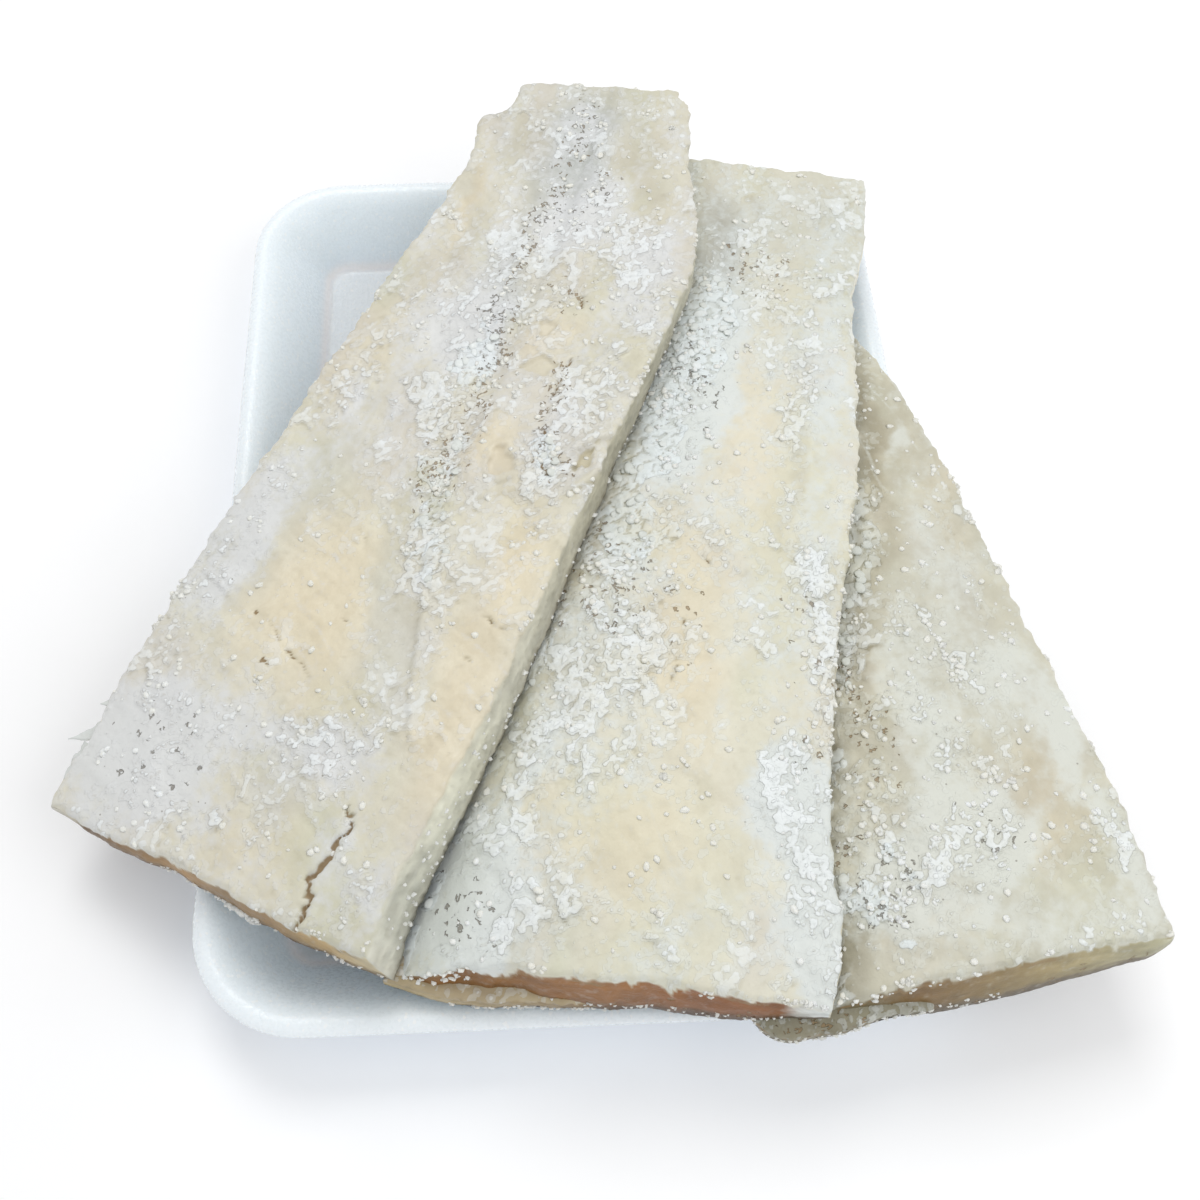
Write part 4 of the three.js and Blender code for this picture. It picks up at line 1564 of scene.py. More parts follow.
def ball(detail: int) -> tuple[Array, Array]:
    """A ball of triangles with radius 1.

    Args:
        detail: 1 for 20 triangles, 2 for 80, 3 for 320.

    Returns:
        Corners and triangles.
    """
    mesh = bpy.data.meshes.new("ball")
    work = bmesh.new()
    bmesh.ops.create_icosphere(work, subdivisions=detail, radius=1.0)
    work.to_mesh(mesh)
    work.free()
    corners = np.array([corner.co for corner in mesh.vertices])
    triangles = np.array([list(face.vertices) for face in mesh.polygons])
    bpy.data.meshes.remove(mesh)
    return corners, triangles


@dataclass
class SaltHeap:
    """Many small lumps of salt as one mesh."""

    name: str
    slot: str
    detail: int = 2
    jitter: float = 0.1
    height: Span = (0.5, 0.8)
    lean: float = 8.0
    sunk: float = 0.25
    places: list[Array] = field(default_factory=list)
    radii: list[Array] = field(default_factory=list)
    shades: list[Array] = field(default_factory=list)

    def add(self, places: Array, radius: Span, shade: Span, random: Random) -> None:
        """Adds a lump at each of some places.

        Args:
            places: rows of x, y, z and film.
            radius: smallest and largest radius, in mm.
            shade: lowest and highest share of white.
            random: source of random numbers.
        """
        count = len(places)
        self.places.append(places[:, :3])
        self.radii.append(radius[0] + (radius[1] - radius[0]) * random.random(count) ** 1.4)
        white = (0.4 + 0.6 * random.random(count)) * places[:, 3]
        self.shades.append(shade[0] + (shade[1] - shade[0]) * white)

    def build(self, finish: SaltGrain, seed: int) -> bpy.types.Object:
        """Makes the mesh of all lumps.

        Args:
            finish: the finish of the salt.
            seed: which draw of shapes.

        Returns:
            The piece.
        """
        random = np.random.default_rng(seed)
        corners, triangles = ball(self.detail)
        places, radii = np.concatenate(self.places), np.concatenate(self.radii)
        count = len(places)
        push = 1 + self.jitter * random.uniform(-1, 1, (count, len(corners), 1))
        long = random.uniform(0.8, 1.4, count)
        high = random.uniform(*self.height, count)
        scale = np.stack([long, 1 / np.sqrt(long), high], axis=-1)
        shape = corners[None] * push * scale[:, None, :] * radii[:, None, None]
        shape = leaned(shape, np.radians(random.uniform(0, self.lean, count)))
        shape = turned(shape, random.uniform(0, math.tau, count))
        shape += places[:, None, :]
        shape[..., 2] += ((1 - 2 * self.sunk) * radii * high)[:, None]
        faces = triangles[None] + (np.arange(count) * len(corners))[:, None, None]
        shades = np.repeat(np.concatenate(self.shades), len(corners))
        piece = make_mesh(
            self.name,
            shape.reshape(-1, 3),
            faces.reshape(-1, 3),
            values={"shade": shades},
        )
        piece.data.materials.append(finish.material(self.name + "_salt"))
        return piece


def leaned(shapes: Array, angles: Array) -> Array:
    """Leans each shape about its own x axis by an angle in radians."""
    deep, high = rotated(shapes[..., 1], shapes[..., 2], -angles[:, None])
    return np.stack([shapes[..., 0], deep, high], axis=-1)


def turned(shapes: Array, angles: Array) -> Array:
    """Turns each shape about its own upright axis by an angle in radians."""
    across, deep = rotated(shapes[..., 0], shapes[..., 1], -angles[:, None])
    return np.stack([across, deep, shapes[..., 2]], axis=-1)


@dataclass
class Shreds:
    """Thin, pointed shreds of skin and salt that stand out from a torn edge."""

    name: str
    slot: str
    blades: list[Rows]
    seed: int
    thickness: float = 0.75
    sides: int = 16
    stations: int = 26
    tone: Colour = linear(206, 207, 202)

    def build(self, finish: SaltedFlesh) -> bpy.types.Object:
        """Builds the shreds.

        Args:
            finish: the finish of the flesh.

        Returns:
            The piece.
        """
        points, faces, count = [], [], 0
        angles = np.linspace(0, math.tau, self.sides, endpoint=False)
        for number, path in enumerate(self.blades):
            line = along(path, np.linspace(0, 1, self.stations))
            run = np.gradient(line[:, :2], axis=0)
            run /= np.maximum(np.hypot(*run.T), 1e-6)[:, None]
            side = np.stack([run[:, 1], -run[:, 0]], axis=-1)
            tear = 0.5 * rough_noise(line[:, 0] * 2, line[:, 1] * 2, 3, self.seed + number)
            width = np.maximum(line[:, 3] * (1 + tear), 0.12)
            thick = self.thickness * (0.3 + 0.7 * np.minimum(line[:, 3] / 2.5, 1)) / 2
            for i, middle in enumerate(line[:, :3]):
                flat = side[i][None] * (width[i] * np.cos(angles))[:, None]
                high = thick[i] * np.sin(angles) + 0.25 * np.cos(3 * angles + i * 0.3) * thick[i]
                points.append(np.concatenate([flat, high[:, None]], axis=1) + middle)
            rings = count + np.arange(len(line) * self.sides).reshape(len(line), self.sides)
            faces.append(rings[0, ::-1].tolist())
            for ring, after in zip(rings[:-1], rings[1:]):
                sides = [ring, np.roll(ring, -1), np.roll(after, -1), after]
                faces += np.stack(sides, axis=-1).tolist()
            faces.append(rings[-1].tolist())
            count += rings.size
        points = np.concatenate(points)
        none = np.zeros(len(points))
        looks = {
            "tint": np.tile(np.array(self.tone), (len(points), 1)),
            "crust": none - 0.1, "crisp": none + 0.3, "film": none + 0.3, "grain": none,
            "lump": none, "fissure": none, "hollow_shade": none, "dark": none,
        }
        piece = make_mesh(self.name, points, faces, values=looks)
        piece.data.materials.append(finish.material(self.name + "_skin"))
        return piece


# ---- the tray


@dataclass
class FoamTray:
    """Shallow foam tray with sloping sides and a rolled rim."""

    width: float = 190.0
    length: float = 265.0
    corner: float = 27.0
    floor_corner: float = 6.0
    section: Rows = field(
        default_factory=lambda: [
            [23, 0], [19.5, 0.5], [16.5, 2.6], [13, 6.8], [9.5, 11.2], [6.4, 14.8],
            [3.2, 17.2], [0.8, 18.9], [0, 20.3], [0.7, 21.5], [2.4, 22], [4.6, 21.6],
            [7.4, 19.8], [11, 16], [14.5, 11.8], [18.3, 7.2], [20.3, 4.9], [21.2, 4.2], [23, 4],
        ]
    )
    corner_steps: int = 14
    straight_steps: int = 22
    section_steps: int = 72

    def ring(self, inset: float, height: float) -> Array:
        """A rectangle with round corners.

        Args:
            inset: distance in from the rim's outer edge, in mm.
            height: height in mm.

        Returns:
            The ring's points, anticlockwise.
        """
        radius = max(self.corner - inset, self.floor_corner)
        half_width = self.width / 2 - inset - radius
        half_length = self.length / 2 - inset - radius
        arcs = []
        for number, (side_x, side_y) in enumerate(((1, -1), (1, 1), (-1, 1), (-1, -1))):
            angle = np.linspace(number - 1, number, self.corner_steps + 1) * math.pi / 2
            across = side_x * half_width + radius * np.cos(angle)
            deep = side_y * half_length + radius * np.sin(angle)
            arcs.append(np.stack([across, deep, 0 * angle + height], axis=-1))
        made = []
        share = np.linspace(0, 1, self.straight_steps, endpoint=False)[1:, None]
        for arc, following in zip(arcs, arcs[1:] + arcs[:1]):
            made += [arc, arc[-1] + (following[0] - arc[-1]) * share]
        return np.concatenate(made)

    def build(self, finish: Foam) -> bpy.types.Object:
        """Builds the tray.

        Args:
            finish: the finish of the foam.

        Returns:
            The piece that replaces the tray's CAD node.
        """
        profile = along(self.section, np.linspace(0, 1, self.section_steps))
        floor = [[23 + 2 * i, 4.0] for i in range(1, 36)]
        sole = [[23 + 2 * i, 0.0] for i in range(35, 0, -1)]
        stops = [*sole, *profile.tolist(), *floor]
        rings = [self.ring(inset, max(height, 0.0)) for inset, height in stops]
        count = len(rings[0])
        points = np.concatenate(rings)
        faces = []
        index = np.arange(count)
        for number in range(len(rings) - 1):
            low = number * count + index
            high = low + count
            faces += np.stack([low, np.roll(low, -1), np.roll(high, -1), high], axis=-1).tolist()
        faces.append(list(range(count))[::-1])
        faces.append(list(range(len(points) - count, len(points))))
        wave = 0.12 * noise(points[:, 0], points[:, 1], 23, 301)
        points[:, 2] += wave * smooth(0.5, 3, points[:, 2])
        # Where the painted highlight along the crease at the foot of the inner walls lies.
        crease_highlight = [
            math.exp(-(((inset - 20.4) / 1.1) ** 2)) * (height > 3) for inset, height in stops
        ]
        values = {"crease_highlight": np.repeat(np.array(crease_highlight), count)}
        piece = make_mesh("foam_tray", points, faces, ("tray",), values)
        piece.data.materials.append(finish.material("foam_tray_skin"))
        return piece


# ---- the three loins' sizes


def right_loin() -> Loin:
    """The loin that lies lowest, at the right.

    Returns:
        The loin with its sizes, zones and tones.
    """
    slab = Slab(
        seed=11,
        near=[
            [37, -132.5, 25.5, 2.8], [47, -132.5, 29.5, 6.5], [57, -131, 34, 12],
            [70, -129, 38, 17], [81, -128, 40, 18], [99, -125, 40, 16.5],
            [114, -123, 39, 13], [124, -122, 37, 9.5], [129, -121, 36, 4.5],
        ],
        far=[[30, 94, 25, 9], [48, 94, 28, 14], [64, 90, 28, 14]],
        left=[[37, -95, 26, 3], [36, -40, 27, 4], [33, 30, 27, 5]],
        right=[
            [125, -98, 38, 10], [121, -77, 38, 12], [111, -39, 37, 14], [100, 9, 35.5, 13.5],
            [92, 36, 33.5, 12], [86.5, 50, 32, 12], [78, 66, 30, 13],
        ],
        ragged_scale=7.0,
        near_flare=3.8,
        right_flare=(1.6, 1.6),
    )
    zones = spots({
        Kind.OLIVE: [
            [84, 34, 3, 9, 0.6, -5], [83, 14, 4, 16, 0.6, -8], [80, -8, 5, 14, 0.45, -10],
            [74, -30, 5, 14, 0.45, -20], [69, -50, 5, 16, 0.45, -8], [64, -74, 3, 12, 0.3],
            [66, -118, 12, 6, 0.4], [94, 22, 12, 26, 0.28, -16], [106, -84, 10, 18, 0.2, 10],
        ],
        Kind.CRYSTALS: [
            [72, -24, 4, 12, 0.4, -14], [67, -48, 3, 10, 0.4, -10], [64, -112, 8, 8, 0.35],
        ],
        Kind.CRUST: [
            [92, -96, 8, 11, 0.8, 20], [80, -106, 9, 8, 0.6, -30], [70, -50, 8, 12, 0.4],
            [88, -46, 5, 16, 0.6, 35], [118, -95, 5, 25, 0.5, 12], [66, -96, 6, 12, 0.6],
            [64, -114, 9, 8, 0.8], [84, -70, 6, 12, 0.5, 20],
        ],
        Kind.FILM: [
            [92, -96, 12, 12, 1.2, 20], [82, 14, 6, 26, -0.8, -8], [71, -40, 5, 30, -0.5, -10],
            [118, -90, 5, 36, 0.7, 14], [98, -48, 8, 40, 0.5, 14],
            [80, -60, 8, 26, 0.5], [95, -118, 26, 6, 0.6], [93, 26, 3, 24, 0.4, -18],
            [76, -94, 7, 14, 0.5, -20], [66, -112, 10, 12, 0.6],
        ],
        Kind.CRACKED: [[66, -66, 6, 18, 0.5], [66, -108, 8, 14, 0.6], [92, -96, 8, 8, 0.35]],
        Kind.BARE: [
            [92, 20, 13, 44, 1, -16], [118, -70, 5, 40, 0.4, -12], [76, 10, 5, 22, 0.8, -14],
            [106, -80, 9, 18, 0.5], [100, -115, 14, 6, 0.5],
        ],
        Kind.WARM: [
            [106, -88, 9, 18, 0.55, 10], [82, -92, 8, 10, 0.3], [100, -2, 6, 18, 0.35, -14],
            [84, -120, 14, 5, 0.1],
        ],
        Kind.GREY: [[92, -45, 18, 30, 0.25]],
    })
    return Loin(
        name="right_loin",
        node="loin_right",
        slot="right_fish",
        slab=slab,
        rests_on=["tray"],
        zones=zones,
        flesh=linear(215, 212, 193),
        shade=linear(140, 135, 115),
        shade_reach=7.5,
        shade_share=0.85,
        wall_rough=(0.4, 0.5),
        crust_level=-0.3,
        cracks=[Crack([[101, -48], [102, -56], [102.5, -66]], 0.35, 0.3, 0.35)],
        fibre_turn=-62,
        near_tones=wall_tones(
            (0.0, 128, 121, 98), (0.22, 120, 108, 78), (0.36, 122, 94, 54),
            (0.5, 138, 114, 68), (0.7, 156, 140, 98), (0.9, 172, 165, 130),
            (1.0, 190, 188, 158),
        ),
        right_tones=wall_tones((0.0, 206, 206, 190), (1.0, 206, 206, 194)),
        skin_and_foot_shade_tone=linear(98, 86, 68),
    )


def middle_loin() -> Loin:
    """The loin in the middle, lying on the right one.

    Returns:
        The loin with its sizes, zones and tones.
    """
    slab = Slab(
        seed=23,
        near=[
            [-47, -121, 27, 3.4], [-42, -122, 31, 6.5], [-30, -122, 39, 14],
            [-16, -124, 42, 17], [12, -128, 42, 16.5], [26, -130, 40, 14.5],
            [43, -133, 37, 8], [50, -134.5, 35, 3.5],
        ],
        far=[
            [24, 120, 35, 8], [42, 117, 42, 14], [63, 111, 43.5, 15], [81, 107, 44, 15],
            [91, 104, 43, 14],
        ],
        left=[[-36, -82, 31, 4], [-22, -32, 33, 5], [-6, 20, 34, 6], [10, 75, 35, 7]],
        right=[
            [54, -119, 40, 7], [53.5, -98, 43, 8], [56.5, -77, 45, 9], [61, -53, 46, 10],
            [68, -22, 47, 10], [73, -2, 47, 11], [78.5, 42, 46, 12], [83, 66, 45, 13],
            [87, 78, 44, 13], [90, 90, 43.5, 14],
        ],
        ragged=0.6,
        ragged_scale=6.0,
        near_flare=2.6,
    )
    zones = spots({
        Kind.CRYSTALS: [
            [38, 56, 8, 13, 1, -10], [32, 36, 8, 12, 0.9, -15], [21, 12, 7, 14, 1, -15],
            [14, -12, 7, 12, 0.8, -20],
        ],
        Kind.CRACKED: [
            [-30, -108, 7, 7, 0.7], [32, 32, 9, 18, 0.5], [8, -34, 12, 14, 0.75],
            [25, -46, 5, 16, 0.3], [52, -60, 6, 26, 0.3], [56, 70, 10, 14, 0.35],
        ],
        Kind.FILM: [
            [34, 30, 12, 34, 1.1, -16], [8, -40, 12, 26, 0.35, -24], [66, 6, 5, 46, 0.45, -14],
            [48, -92, 11, 11, 1.4], [49, -122, 8, 18, 1.5], [-30, -106, 12, 18, 1.1, -30],
        ],
        Kind.CRUST: [
            [34, 36, 11, 18, 0.9, -15], [49, -124, 7, 12, 1], [26, 10, 9, 16, 0.8, -20],
            [12, -28, 12, 10, 1.1], [6, -52, 14, 13, 1.1], [-8, -76, 13, 13, 0.9],
            [-22, -96, 9, 12, 0.7], [-20, -114, 16, 6, 0.7], [57, -30, 6, 14, 0.9],
            [47, -90, 8, 11, 2], [49, -108, 6, 12, 1.1], [57, -60, 5, 16, 1],
            [62, 32, 6, 30, 0.4, -15], [55, 82, 8, 18, 0.6], [75, 52, 7, 16, 0.5],
            [80, 88, 6, 14, 0.5],
        ],
        Kind.BARE: [
            [12, -98, 22, 14, 0.7], [28, -60, 9, 22, 0.6], [45, 10, 9, 26, 0.7, -10],
            [68, 10, 6, 30, 0.5, -12], [48, 92, 8, 14, 0.5],
        ],
        Kind.WARM: [
            [26, -24, 8, 20, 0.6, 15], [22, -56, 10, 22, 0.8, 8], [6, -98, 26, 16, 0.55],
            [46, 6, 9, 26, 0.5, -10], [58, -62, 6, 16, 0.35],
        ],
        Kind.GREY: [
            # The first grey zone, with the olive one at (43, 88), also paints shade beside the far
            # crust patches.
            [44, 80, 9, 26, 1], [30, 40, 9, 26, 0.35, -15], [12, -8, 7, 24, 0.35, -22],
            [-14, -72, 8, 24, 0.2, -25], [70, 86, 16, 20, 0.35],
        ],
        Kind.OLIVE: [
            [43, 88, 7, 20, 0.36], [3, -20, 4, 14, 0.6, -28], [-32, -96, 2, 16, 0.25, -28],
            [13, 2, 4, 26, 0.4, -28], [-6, -60, 5, 22, 0.3, -28], [8, -38, 14, 10, 0.15],
            [57, 96, 3, 8, 0.5, 10], [58, -2, 2, 18, 0.25, -22],
        ],
    })
    return Loin(
        name="middle_loin",
        node="loin_middle",
        slot="middle_fish",
        slab=slab,
        rests_on=["tray", "loin_right"],
        zones=zones,
        flesh=linear(221, 218, 200),
        wall_rough=(0.8, 0.8),
        crust_level=-0.28,
        cracks=[
            Crack([[24, -46], [24.3, -42], [25.5, -38.5]], 0.5, 0.6, 0.5),
            Crack([[30, -25], [31.6, -28], [34, -31]], 0.4, 0.6, 0.45),
            Crack([[20, -60], [22, -54]], 0.5, 0.5, 0.35),
        ],
        folds=[Fold([[69, 46], [65, 22], [61, 0], [58, -14]], 2.6, 0.6)],
        fibre_turn=-72,
        near_tones=wall_tones(
            (0.0, 110, 84, 50), (0.12, 132, 92, 46), (0.5, 146, 98, 44),
            (0.75, 136, 84, 36), (0.89, 130, 83, 42), (0.93, 206, 206, 200),
            (1.0, 220, 228, 228),
        ),
        right_tones=wall_tones((0.0, 206, 200, 178), (1.0, 216, 214, 198)),
        skin_and_foot_shade_tone=linear(86, 66, 46),
    )


def left_loin() -> Loin:
    """The loin on top, at the left.

    Returns:
        The loin with its sizes, zones and tones.
    """
    slab = Slab(
        seed=37,
        near=[
            [-131, -76, 25.5, 2.8], [-115, -86, 30, 6], [-99, -93, 33.5, 9],
            [-88, -100, 35.5, 10], [-73, -109, 39, 10.5], [-57, -118, 43, 13.5],
            [-51, -120, 44, 16],
        ],
        far=[[-10, 139, 53, 12], [1, 138, 54, 13], [20, 134, 56, 14], [36, 130, 57, 14]],
        left=[
            [-130, -71, 26, 3], [-123, -61, 28.5, 5], [-115, -44, 31.5, 8.5],
            [-97, -9, 34.5, 11.5], [-80, 21, 38, 12], [-53, 69, 43, 12], [-30, 107, 48, 12],
            [-24, 121, 50, 12], [-22.5, 127, 51, 12], [-15, 129, 52, 12],
        ],
        right=[
            [-44, -105, 50, 16], [-31, -84, 55, 16], [-18, -59, 57, 16], [0, -18, 58, 15.5],
            [19, 23, 58, 15], [36, 65, 58, 14.5], [37.5, 100, 57, 14], [39, 122, 57, 14],
        ],
        ragged=0.45,
        ragged_scale=7.0,
        near_flare=2.0,
        right_flare=(4.5, -2.5),
    )
    zones = spots({
        Kind.CRUST: [
            [8, 86, 12, 12, 1], [18, 68, 12, 14, 0.8], [22, 45, 9, 16, 0.8],
            [-10, 70, 12, 12, 0.7], [-27, 50, 9, 12, 1, -20], [-40, 28, 7, 10, 0.8, -20],
            [-42, 60, 6, 10, 0.5], [-30, 12, 7, 14, 0.8], [2, 14, 9, 18, 0.6, -20],
            [-8, -8, 7, 14, 0.9], [-38, -20, 5, 22, 0.7], [-66, -68, 18, 8, 0.8, -10],
            [-88, -86, 14, 6, 0.5, -10], [-106, -62, 13, 15, 0.6], [-92, -14, 9, 22, 0.5, -28],
            [-52, -108, 7, 7, 0.5], [8, 115, 14, 12, 0.5], [-60, 36, 6, 16, 0.45, -28],
        ],
        Kind.FILM: [
            [6, 84, 14, 14, 0.8], [-26, 48, 9, 18, 0.9, -20], [22, 50, 9, 26, 0.4],
            [-108, -66, 17, 20, 1.2], [-90, -10, 12, 26, 0.7, -28], [-66, -70, 20, 9, 0.7, -15],
            [-40, 52, 9, 16, 0.5, -20], [-62, 20, 9, 22, 0.4, -28], [-54, -104, 9, 12, 0.45],
            [-84, -92, 22, 8, 0.4, -25], [6, 116, 12, 16, 0.4],
        ],
        Kind.CRACKED: [
            [-20, 36, 6, 16, 0.6, -15], [-34, 2, 6, 16, 0.6, -15], [0, 56, 9, 6, 0.6],
            [8, 92, 8, 10, 0.5], [-104, -66, 14, 14, 0.2],
        ],
        Kind.CRYSTALS: [
            [-24, 40, 7, 13, 0.55, -20], [-32, 12, 5, 14, 0.5], [-36, -14, 5, 16, 0.5],
            [-7, -6, 5, 15, 0.5],
        ],
        Kind.BARE: [
            [-66, -30, 17, 32, 0.8, -10], [-28, -62, 10, 30, 0.7, -20], [-62, -98, 20, 10, 0.5],
            [-22, 6, 8, 8, 0.5], [26, 96, 8, 18, 0.4], [-24, 98, 6, 8, 0.5],
        ],
        Kind.WARM: [
            [-66, -30, 18, 32, 0.9, -10], [-28, -62, 11, 32, 0.85, -20], [-22, 6, 9, 9, 0.8],
            [-12, -30, 9, 20, 0.6], [-76, -94, 18, 9, 0.3, -25], [-28, 96, 4, 14, 0.7, -24],
            [-5, 42, 7, 9, 0.6], [-58, 42, 8, 24, 0.4, -28],
        ],
        Kind.OLIVE: [
            [-60, -114, 13, 3.5, 0.12, -22], [26, 96, 7, 20, 0.28], [-12, 122, 8, 8, 0.22],
            [-27, 84, 3, 14, 0.2, -24],
        ],
        Kind.GREY: [
            [5, 110, 13, 26, 1.1, -15], [-16, 60, 5, 24, 0.9, -15], [-88, -10, 12, 24, 0.35, -28],
            [-106, -66, 18, 16, 0.25], [-46, -45, 5, 30, 0.4, 5], [-62, 10, 10, 22, 0.3, -28],
            [-74, -68, 16, 8, 0.2],
        ],
    })
    split_path = [
        [-71, -124], [-66.6, -113], [-64, -107], [-64.6, -103.5], [-59, -98.5], [-55.5, -93],
        [-54, -88],
    ]
    return Loin(
        name="left_loin",
        node="loin_left",
        slot="left_fish",
        slab=slab,
        rests_on=["tray", "loin_right", "loin_middle"],
        zones=zones,
        flesh=linear(218, 214, 196),
        wall_rough=(0.8, 1.1),
        crust_level=-0.26,
        furrow=([[15, 130], [-8, 62], [-37, -10]], 1.3, 3.0),
        pit_lines=[
            [[10, 128], [0, 100], [-8, 84], [-16, 60], [-20, 42]],
            [[-17, 46], [-21.7, 31], [-23.6, 22.7]],
            [[-30, 10], [-33, 6], [-36, 0]],
            [[-2, 30], [-8, 10], [-7, -6]],
        ],
        cracks=[
            Crack(split_path, 0.85, 1.3, 0.7, False),
            Crack([[-81.4, -32.3], [-80.6, -33.6]], 0.7, 0.5, 0.8, False),
            Crack([[-80, -34.6], [-75, -41], [-69, -49.4], [-65, -54]], 0.36, 0.5, 0.5),
            Crack([[-78.4, -45.3], [-77, -49]], 0.45, 0.5, 0.7, False),
            Crack([[-63, -43], [-57.4, -51]], 0.36, 0.4, 0.4),
            Crack([[-59.3, -38], [-56.5, -41.2]], 0.36, 0.4, 0.4),
            Crack([[-57, -6], [-54, -20]], 0.3, 0.4, 0.35),
            Crack([[-5.6, 57.8], [-1.4, 59.5]], 0.7, 1.0, 0.8),
            Crack([[4.9, 56], [4.4, 51], [5.6, 46]], 0.5, 0.9, 0.8),
            Crack([[0.8, 34.1], [-0.4, 31.5], [-1.2, 29]], 0.4, 0.9, 0.7),
            Crack([[-3, 26.3], [-3.8, 19.7]], 0.4, 0.8, 0.55),
            Crack([[-6.4, 17.5], [-6.8, 14.5]], 0.5, 1.0, 0.9),
            Crack([[-8.5, 10.5], [-7.4, 7]], 0.9, 1.2, 0.8),
            Crack([[-8, 0], [-7.2, -6]], 0.6, 0.9, 0.6),
            Crack([[-24, -43.5], [-18.5, -49]], 0.4, 0.6, 0.4),
            Crack([[-30, -52], [-26, -57]], 0.35, 0.5, 0.3),
            Crack([[12, 128], [9, 120], [6, 112]], 0.4, 0.4, 0.35),
        ],
        dents=[
            Dent(-18.7, 0.7, 3.4, 5.4, 18, 0.45, linear(222, 210, 184)),
            Dent(-8.3, 32.2, 4.6, 2.8, 0, 0.45, linear(218, 210, 184)),
            Dent(-6.0, 45.0, 3.0, 1.8, 10, 0.4, linear(219, 211, 190)),
            Dent(2.1, -2.3, 1.1, 4.2, -52, 0.9, linear(210, 200, 162)),
        ],
        folds=[
            Fold([[-2, -11], [4, -7], [9.5, -1], [12, 4]], 1.5, 1.1),
            Fold([[-4, -2], [0, 2], [6, 5], [11, 6.5]], 1.3, 0.9),
            Fold([[-13, -2], [-15.5, -7], [-20, -7.5]], 1.3, 0.4),
        ],
        seam=([[-37, -18], [-39, -32], [-40, -48], [-41, -62], [-41, -78]], 0.7),
        fibre_turn=-50,
        near_tones=wall_tones(
            (0.0, 210, 209, 200), (0.08, 200, 192, 172), (0.12, 118, 90, 58),
            (0.3, 142, 111, 70), (0.45, 168, 134, 90), (0.58, 138, 114, 82),
            (0.72, 160, 130, 90), (0.88, 190, 162, 112), (1.0, 208, 195, 160),
        ),
        # The darker stretches near the near end and in the middle of the right face are painted
        # shade.
        right_tones=wall_tones(
            (0.0, 214, 213, 199), (0.05, 202, 202, 188), (0.14, 227, 226, 208),
            (0.25, 210, 208, 192), (0.45, 182, 178, 158),
            (0.65, 178, 174, 154), (0.85, 206, 204, 186), (1.0, 218, 216, 200),
        ),
        skin_and_foot_shade_tone=linear(112, 88, 62),
    )


# ---- stage


@dataclass(frozen=True)
class Studio:
    """Pale floor, soft light and the camera."""

    camera_place: Triple = (-10.68, -188.28, 329.25)
    camera_aim: Triple = (-3.4, -11.0, 0.0)
    lens: float = 39.27
    shift_x: float = 0.0304
    floor_half: float = 3000.0
    floor_drop: float = 0.4

    def camera(self) -> None:
        """Puts the camera where the photograph was taken from."""
        data = bpy.data.cameras.new("camera")
        data.lens, data.sensor_width, data.shift_x = self.lens, 36.0, self.shift_x
        data.clip_start, data.clip_end = 0.01, 20.0
        camera = bpy.data.objects.new("camera", data)
        camera.location = Vector(self.camera_place) * MM
        aim = (Vector(self.camera_aim) - Vector(self.camera_place)) * MM
        camera.rotation_mode = "QUATERNION"
        camera.rotation_quaternion = aim.to_track_quat("-Z", "Y")
        bpy.context.scene.collection.objects.link(camera)
        bpy.context.scene.camera = camera

    def floor(self) -> None:
        """Lays a plain pale floor under the tray."""
        half = self.floor_half
        mesh = bpy.data.meshes.new("floor")
        corners = [[-half, -half, 0], [half, -half, 0], [half, half, 0], [-half, half, 0]]
        mesh.from_pydata([[c * MM for c in corner] for corner in corners], [], [[0, 1, 2, 3]])
        floor = bpy.data.objects.new("floor", mesh)
        floor.location.z = -self.floor_drop * MM
        bpy.context.scene.collection.objects.link(floor)
        s = Shader("floor_paper")
        cloud = s.spread(s.grain(40.0), 0.3, 0.7)
        colour = s.blend(cloud, (0.985, 0.985, 0.985), (0.995, 0.995, 0.995))
        mesh.materials.append(s.finish(Base_Color=colour, Roughness=0.9))

    def lights(self) -> None:
        """Hangs two soft lamps and fills the rest with an even white sky."""
        world = bpy.data.worlds.new("sky")
        world.use_nodes = True
        world.node_tree.nodes["Background"].inputs["Color"].default_value = (0.985, 0.99, 1.0, 1.0)
        world.node_tree.nodes["Background"].inputs["Strength"].default_value = 0.7
        bpy.context.scene.world = world
        lamps = (
            ("key", (-160, 820, 1500), 740, 8.4),
            ("fill", (640, -300, 700), 700, 2.3),
        )
        for name, place, size, power in lamps:
            data = bpy.data.lights.new(name, "AREA")
            data.size, data.energy = size * MM, power
            lamp = bpy.data.objects.new(name, data)
            lamp.location = Vector(place) * MM
            lamp.rotation_mode = "QUATERNION"
            lamp.rotation_quaternion = (-Vector(place)).to_track_quat("-Z", "Y")
            bpy.context.scene.collection.objects.link(lamp)

    def build(self) -> None:
        """Sets up the stage."""
        bpy.context.scene.view_settings.view_transform = "Standard"
        self.camera()
        self.floor()
        self.lights()


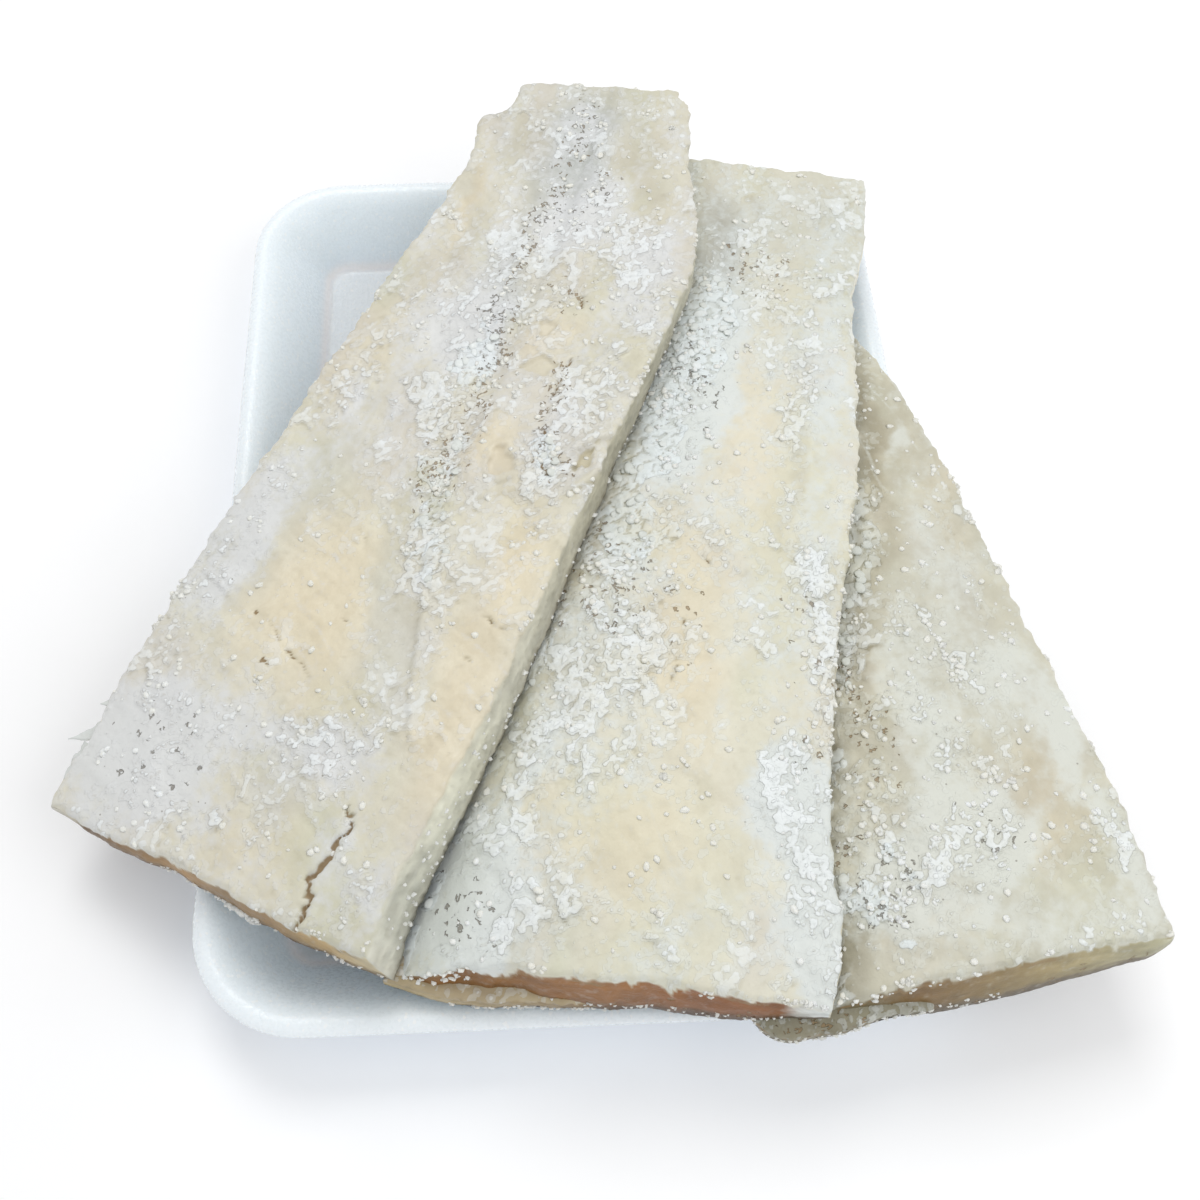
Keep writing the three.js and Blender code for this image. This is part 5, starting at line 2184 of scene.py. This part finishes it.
def scatter_salt(loins: list[Loin], flaps: list[Loin]) -> None:
    """Lays the loose salt on the loins.

    Args:
        loins: the right, the middle and the left loin, already built.
        flaps: the torn flaps under them, already built.
    """
    grains = SaltHeap("salt_grains", "left_fish", jitter=0.24, height=(0.3, 0.5), sunk=0.5)
    scales = SaltHeap(
        "salt_scales", "middle_fish", jitter=0.13, height=(0.16, 0.26), lean=14.0, sunk=0.5
    )
    counts = {"left_loin": (560, 26), "middle_loin": (410, 60), "right_loin": (300, 26)}
    for number, loin in enumerate(loins):
        random = np.random.default_rng(40 + number)
        top = loin.top
        open_ = (top.free > 0.9) * smooth(0.2, 1.5, top.edge)
        dense = np.clip(top.zone(Kind.CRYSTALS), 0, 1.2)
        salty = np.clip(top.zone(Kind.CRUST), 0, 1.2)
        bare = np.clip(1 - top.zone(Kind.BARE), 0.12, 1)
        clusters = smooth(0.2, 0.55, rough_noise(top.at.x, top.at.y, 6, 400 + number))
        pitted = np.clip(top.looks["fissure"], 0, 1)
        weight = open_ * (0.1 + 0.1 * dense + 0.12 * salty + 1.3 * clusters * bare + 1.1 * pitted)
        many, scaly = counts[loin.name]
        grains.add(loin.places(random, many, weight), (0.4, 1.0), (0.1, 1.0), random)
        weight = (top.free > 0.9) * (top.edge < 0.9) * clusters * bare**2
        grains.add(loin.places(random, many // 4, weight), (0.3, 0.8), (0.1, 1.0), random)
        weight = open_ * top.looks["grain"] ** 2
        scales.add(loin.places(random, scaly, weight), (0.8, 1.6), (0.1, 1.2), random)
    random = np.random.default_rng(77)
    right, middle, left = loins
    for loin, count, span, down, largest in (
        (left, 90, (0.57, 0.68), (0.72, 1.0), 1.0), (left, 45, (0.3, 1.0), (0.8, 1.0), 0.6),
        (left, 40, (1.0, 1.3), (0.7, 1.0), 0.8), (left, 30, (1.02, 1.22), (0.2, 0.7), 0.8),
        (left, 60, (1.3, 2.0), (0.8, 1.0), 0.7),
        (middle, 70, (0.1, 0.9), (0.8, 1.0), 0.5), (middle, 40, (0.0, 0.2), (0.0, 0.5), 0.8),
        (middle, 8, (0.7, 0.73), (0.0, 0.25), 0.6), (middle, 80, (1.2, 2.0), (0.5, 1.0), 0.7),
        (right, 40, (0.2, 0.6), (0.75, 1.0), 0.6), (right, 20, (0.2, 0.5), (0.0, 0.3), 0.8),
        (flaps[0], 50, (0.3, 1.0), (0.6, 1.0), 0.7), (flaps[1], 70, (0.0, 1.0), (0.2, 1.0), 0.6),
    ):
        grains.add(loin.wall_places(random, count, span, down), (0.3, largest), (0.2, 1.2), random)
    grains.build(SaltGrain(cream=linear(229, 227, 215), white=linear(236, 239, 238)), 61)
    scales.build(SaltGrain(cream=linear(206, 209, 201), white=linear(229, 234, 234), glow=0.0), 62)


def trimmings(flesh: SaltedFlesh) -> list[Loin]:
    """Adds the torn flaps and shreds along the loins' ends.

    Args:
        flesh: the finish of the flesh.

    Returns:
        The two flaps.
    """
    flap = Slab(
        seed=5,
        near=[
            [-49, -121.5, 27.4, 5.4], [-36, -125.8, 29.4, 7], [-22, -127.8, 30, 7.6],
            [-10, -128.6, 29.2, 6.6], [4, -129.5, 26.6, 3],
        ],
        far=[[-44, -116, 29, 5], [-22, -118, 31, 6], [2, -121, 29, 3]],
    )
    corner = Slab(
        seed=6,
        near=[
            [34, -133.4, 26.5, 2], [37.4, -136.6, 27, 4.4], [42.4, -138, 27.6, 6],
            [47.6, -137.6, 28.2, 6.2], [53, -137, 28.8, 6], [58.2, -136, 29.4, 5.4],
            [66, -134.3, 29, 4], [75, -132.6, 27.5, 2],
        ],
        far=[[37, -129, 29, 4], [50, -130, 31, 6], [75, -130, 28, 2]],
    )
    thin = {"node": "", "rests_on": ["tray"], "crust_level": -0.6}
    thin |= {"rows": 22, "columns": 110, "wall_rows": 9}
    flaps = [
        Loin(
            name="skin_flap", slot="middle_fish", slab=flap, flesh=linear(178, 162, 130), **thin,
            zones=spots({Kind.FILM: [[-22, -124, 50, 20, -0.9]]}),
            near_tones=wall_tones((0.0, 190, 172, 130), (0.5, 168, 148, 110), (1.0, 112, 88, 62)),
            skin_and_foot_shade_tone=linear(104, 90, 68),
        ),
        Loin(
            name="corner_flap", slot="right_fish", slab=corner, flesh=linear(146, 141, 120), **thin,
            wall_pits=1.1,
            zones=spots({
                Kind.CRACKED: [[50, -136, 18, 6, 1]], Kind.FILM: [[52, -134, 40, 16, -0.9]],
            }),
            near_tones=wall_tones((0.0, 168, 142, 104), (0.12, 136, 130, 108), (1.0, 108, 102, 80)),
            skin_and_foot_shade_tone=linear(74, 68, 54),
        ),
    ]
    for made in flaps:
        made.build(flesh, [])
    Shreds(
        "edge_shreds", "left_fish",
        [
            [
                [-113, -55, 28.6, 3.6], [-119, -57.6, 27.6, 2.8], [-124, -59, 27.2, 1.3],
                [-128.4, -59.6, 27, 0.1],
            ],
            [[-113, -50.5, 29.6, 3.2], [-117, -51.2, 29.2, 1.9], [-120.9, -51.3, 29, 0.1]],
            [[-122, -62, 26.8, 3.0], [-125, -66, 26.4, 2.2], [-128, -70, 26, 0.6]],
        ],
        560,
    ).build(flesh)
    return flaps


def main() -> None:
    """Builds the dish piece by piece, then its stage."""
    logging.basicConfig(level=logging.INFO, format="%(message)s")
    Studio().build()
    FoamTray().build(Foam())
    right, middle, left = right_loin(), middle_loin(), left_loin()
    flesh = SaltedFlesh()
    right.build(SaltedFlesh(film=linear(217, 220, 212)), [middle.slab, left.slab])
    middle.build(flesh, [left.slab])
    left.build(SaltedFlesh(film=linear(220, 222, 223)), [])
    scatter_salt([right, middle, left], trimmings(flesh))


if __name__ == "__main__":
    main()
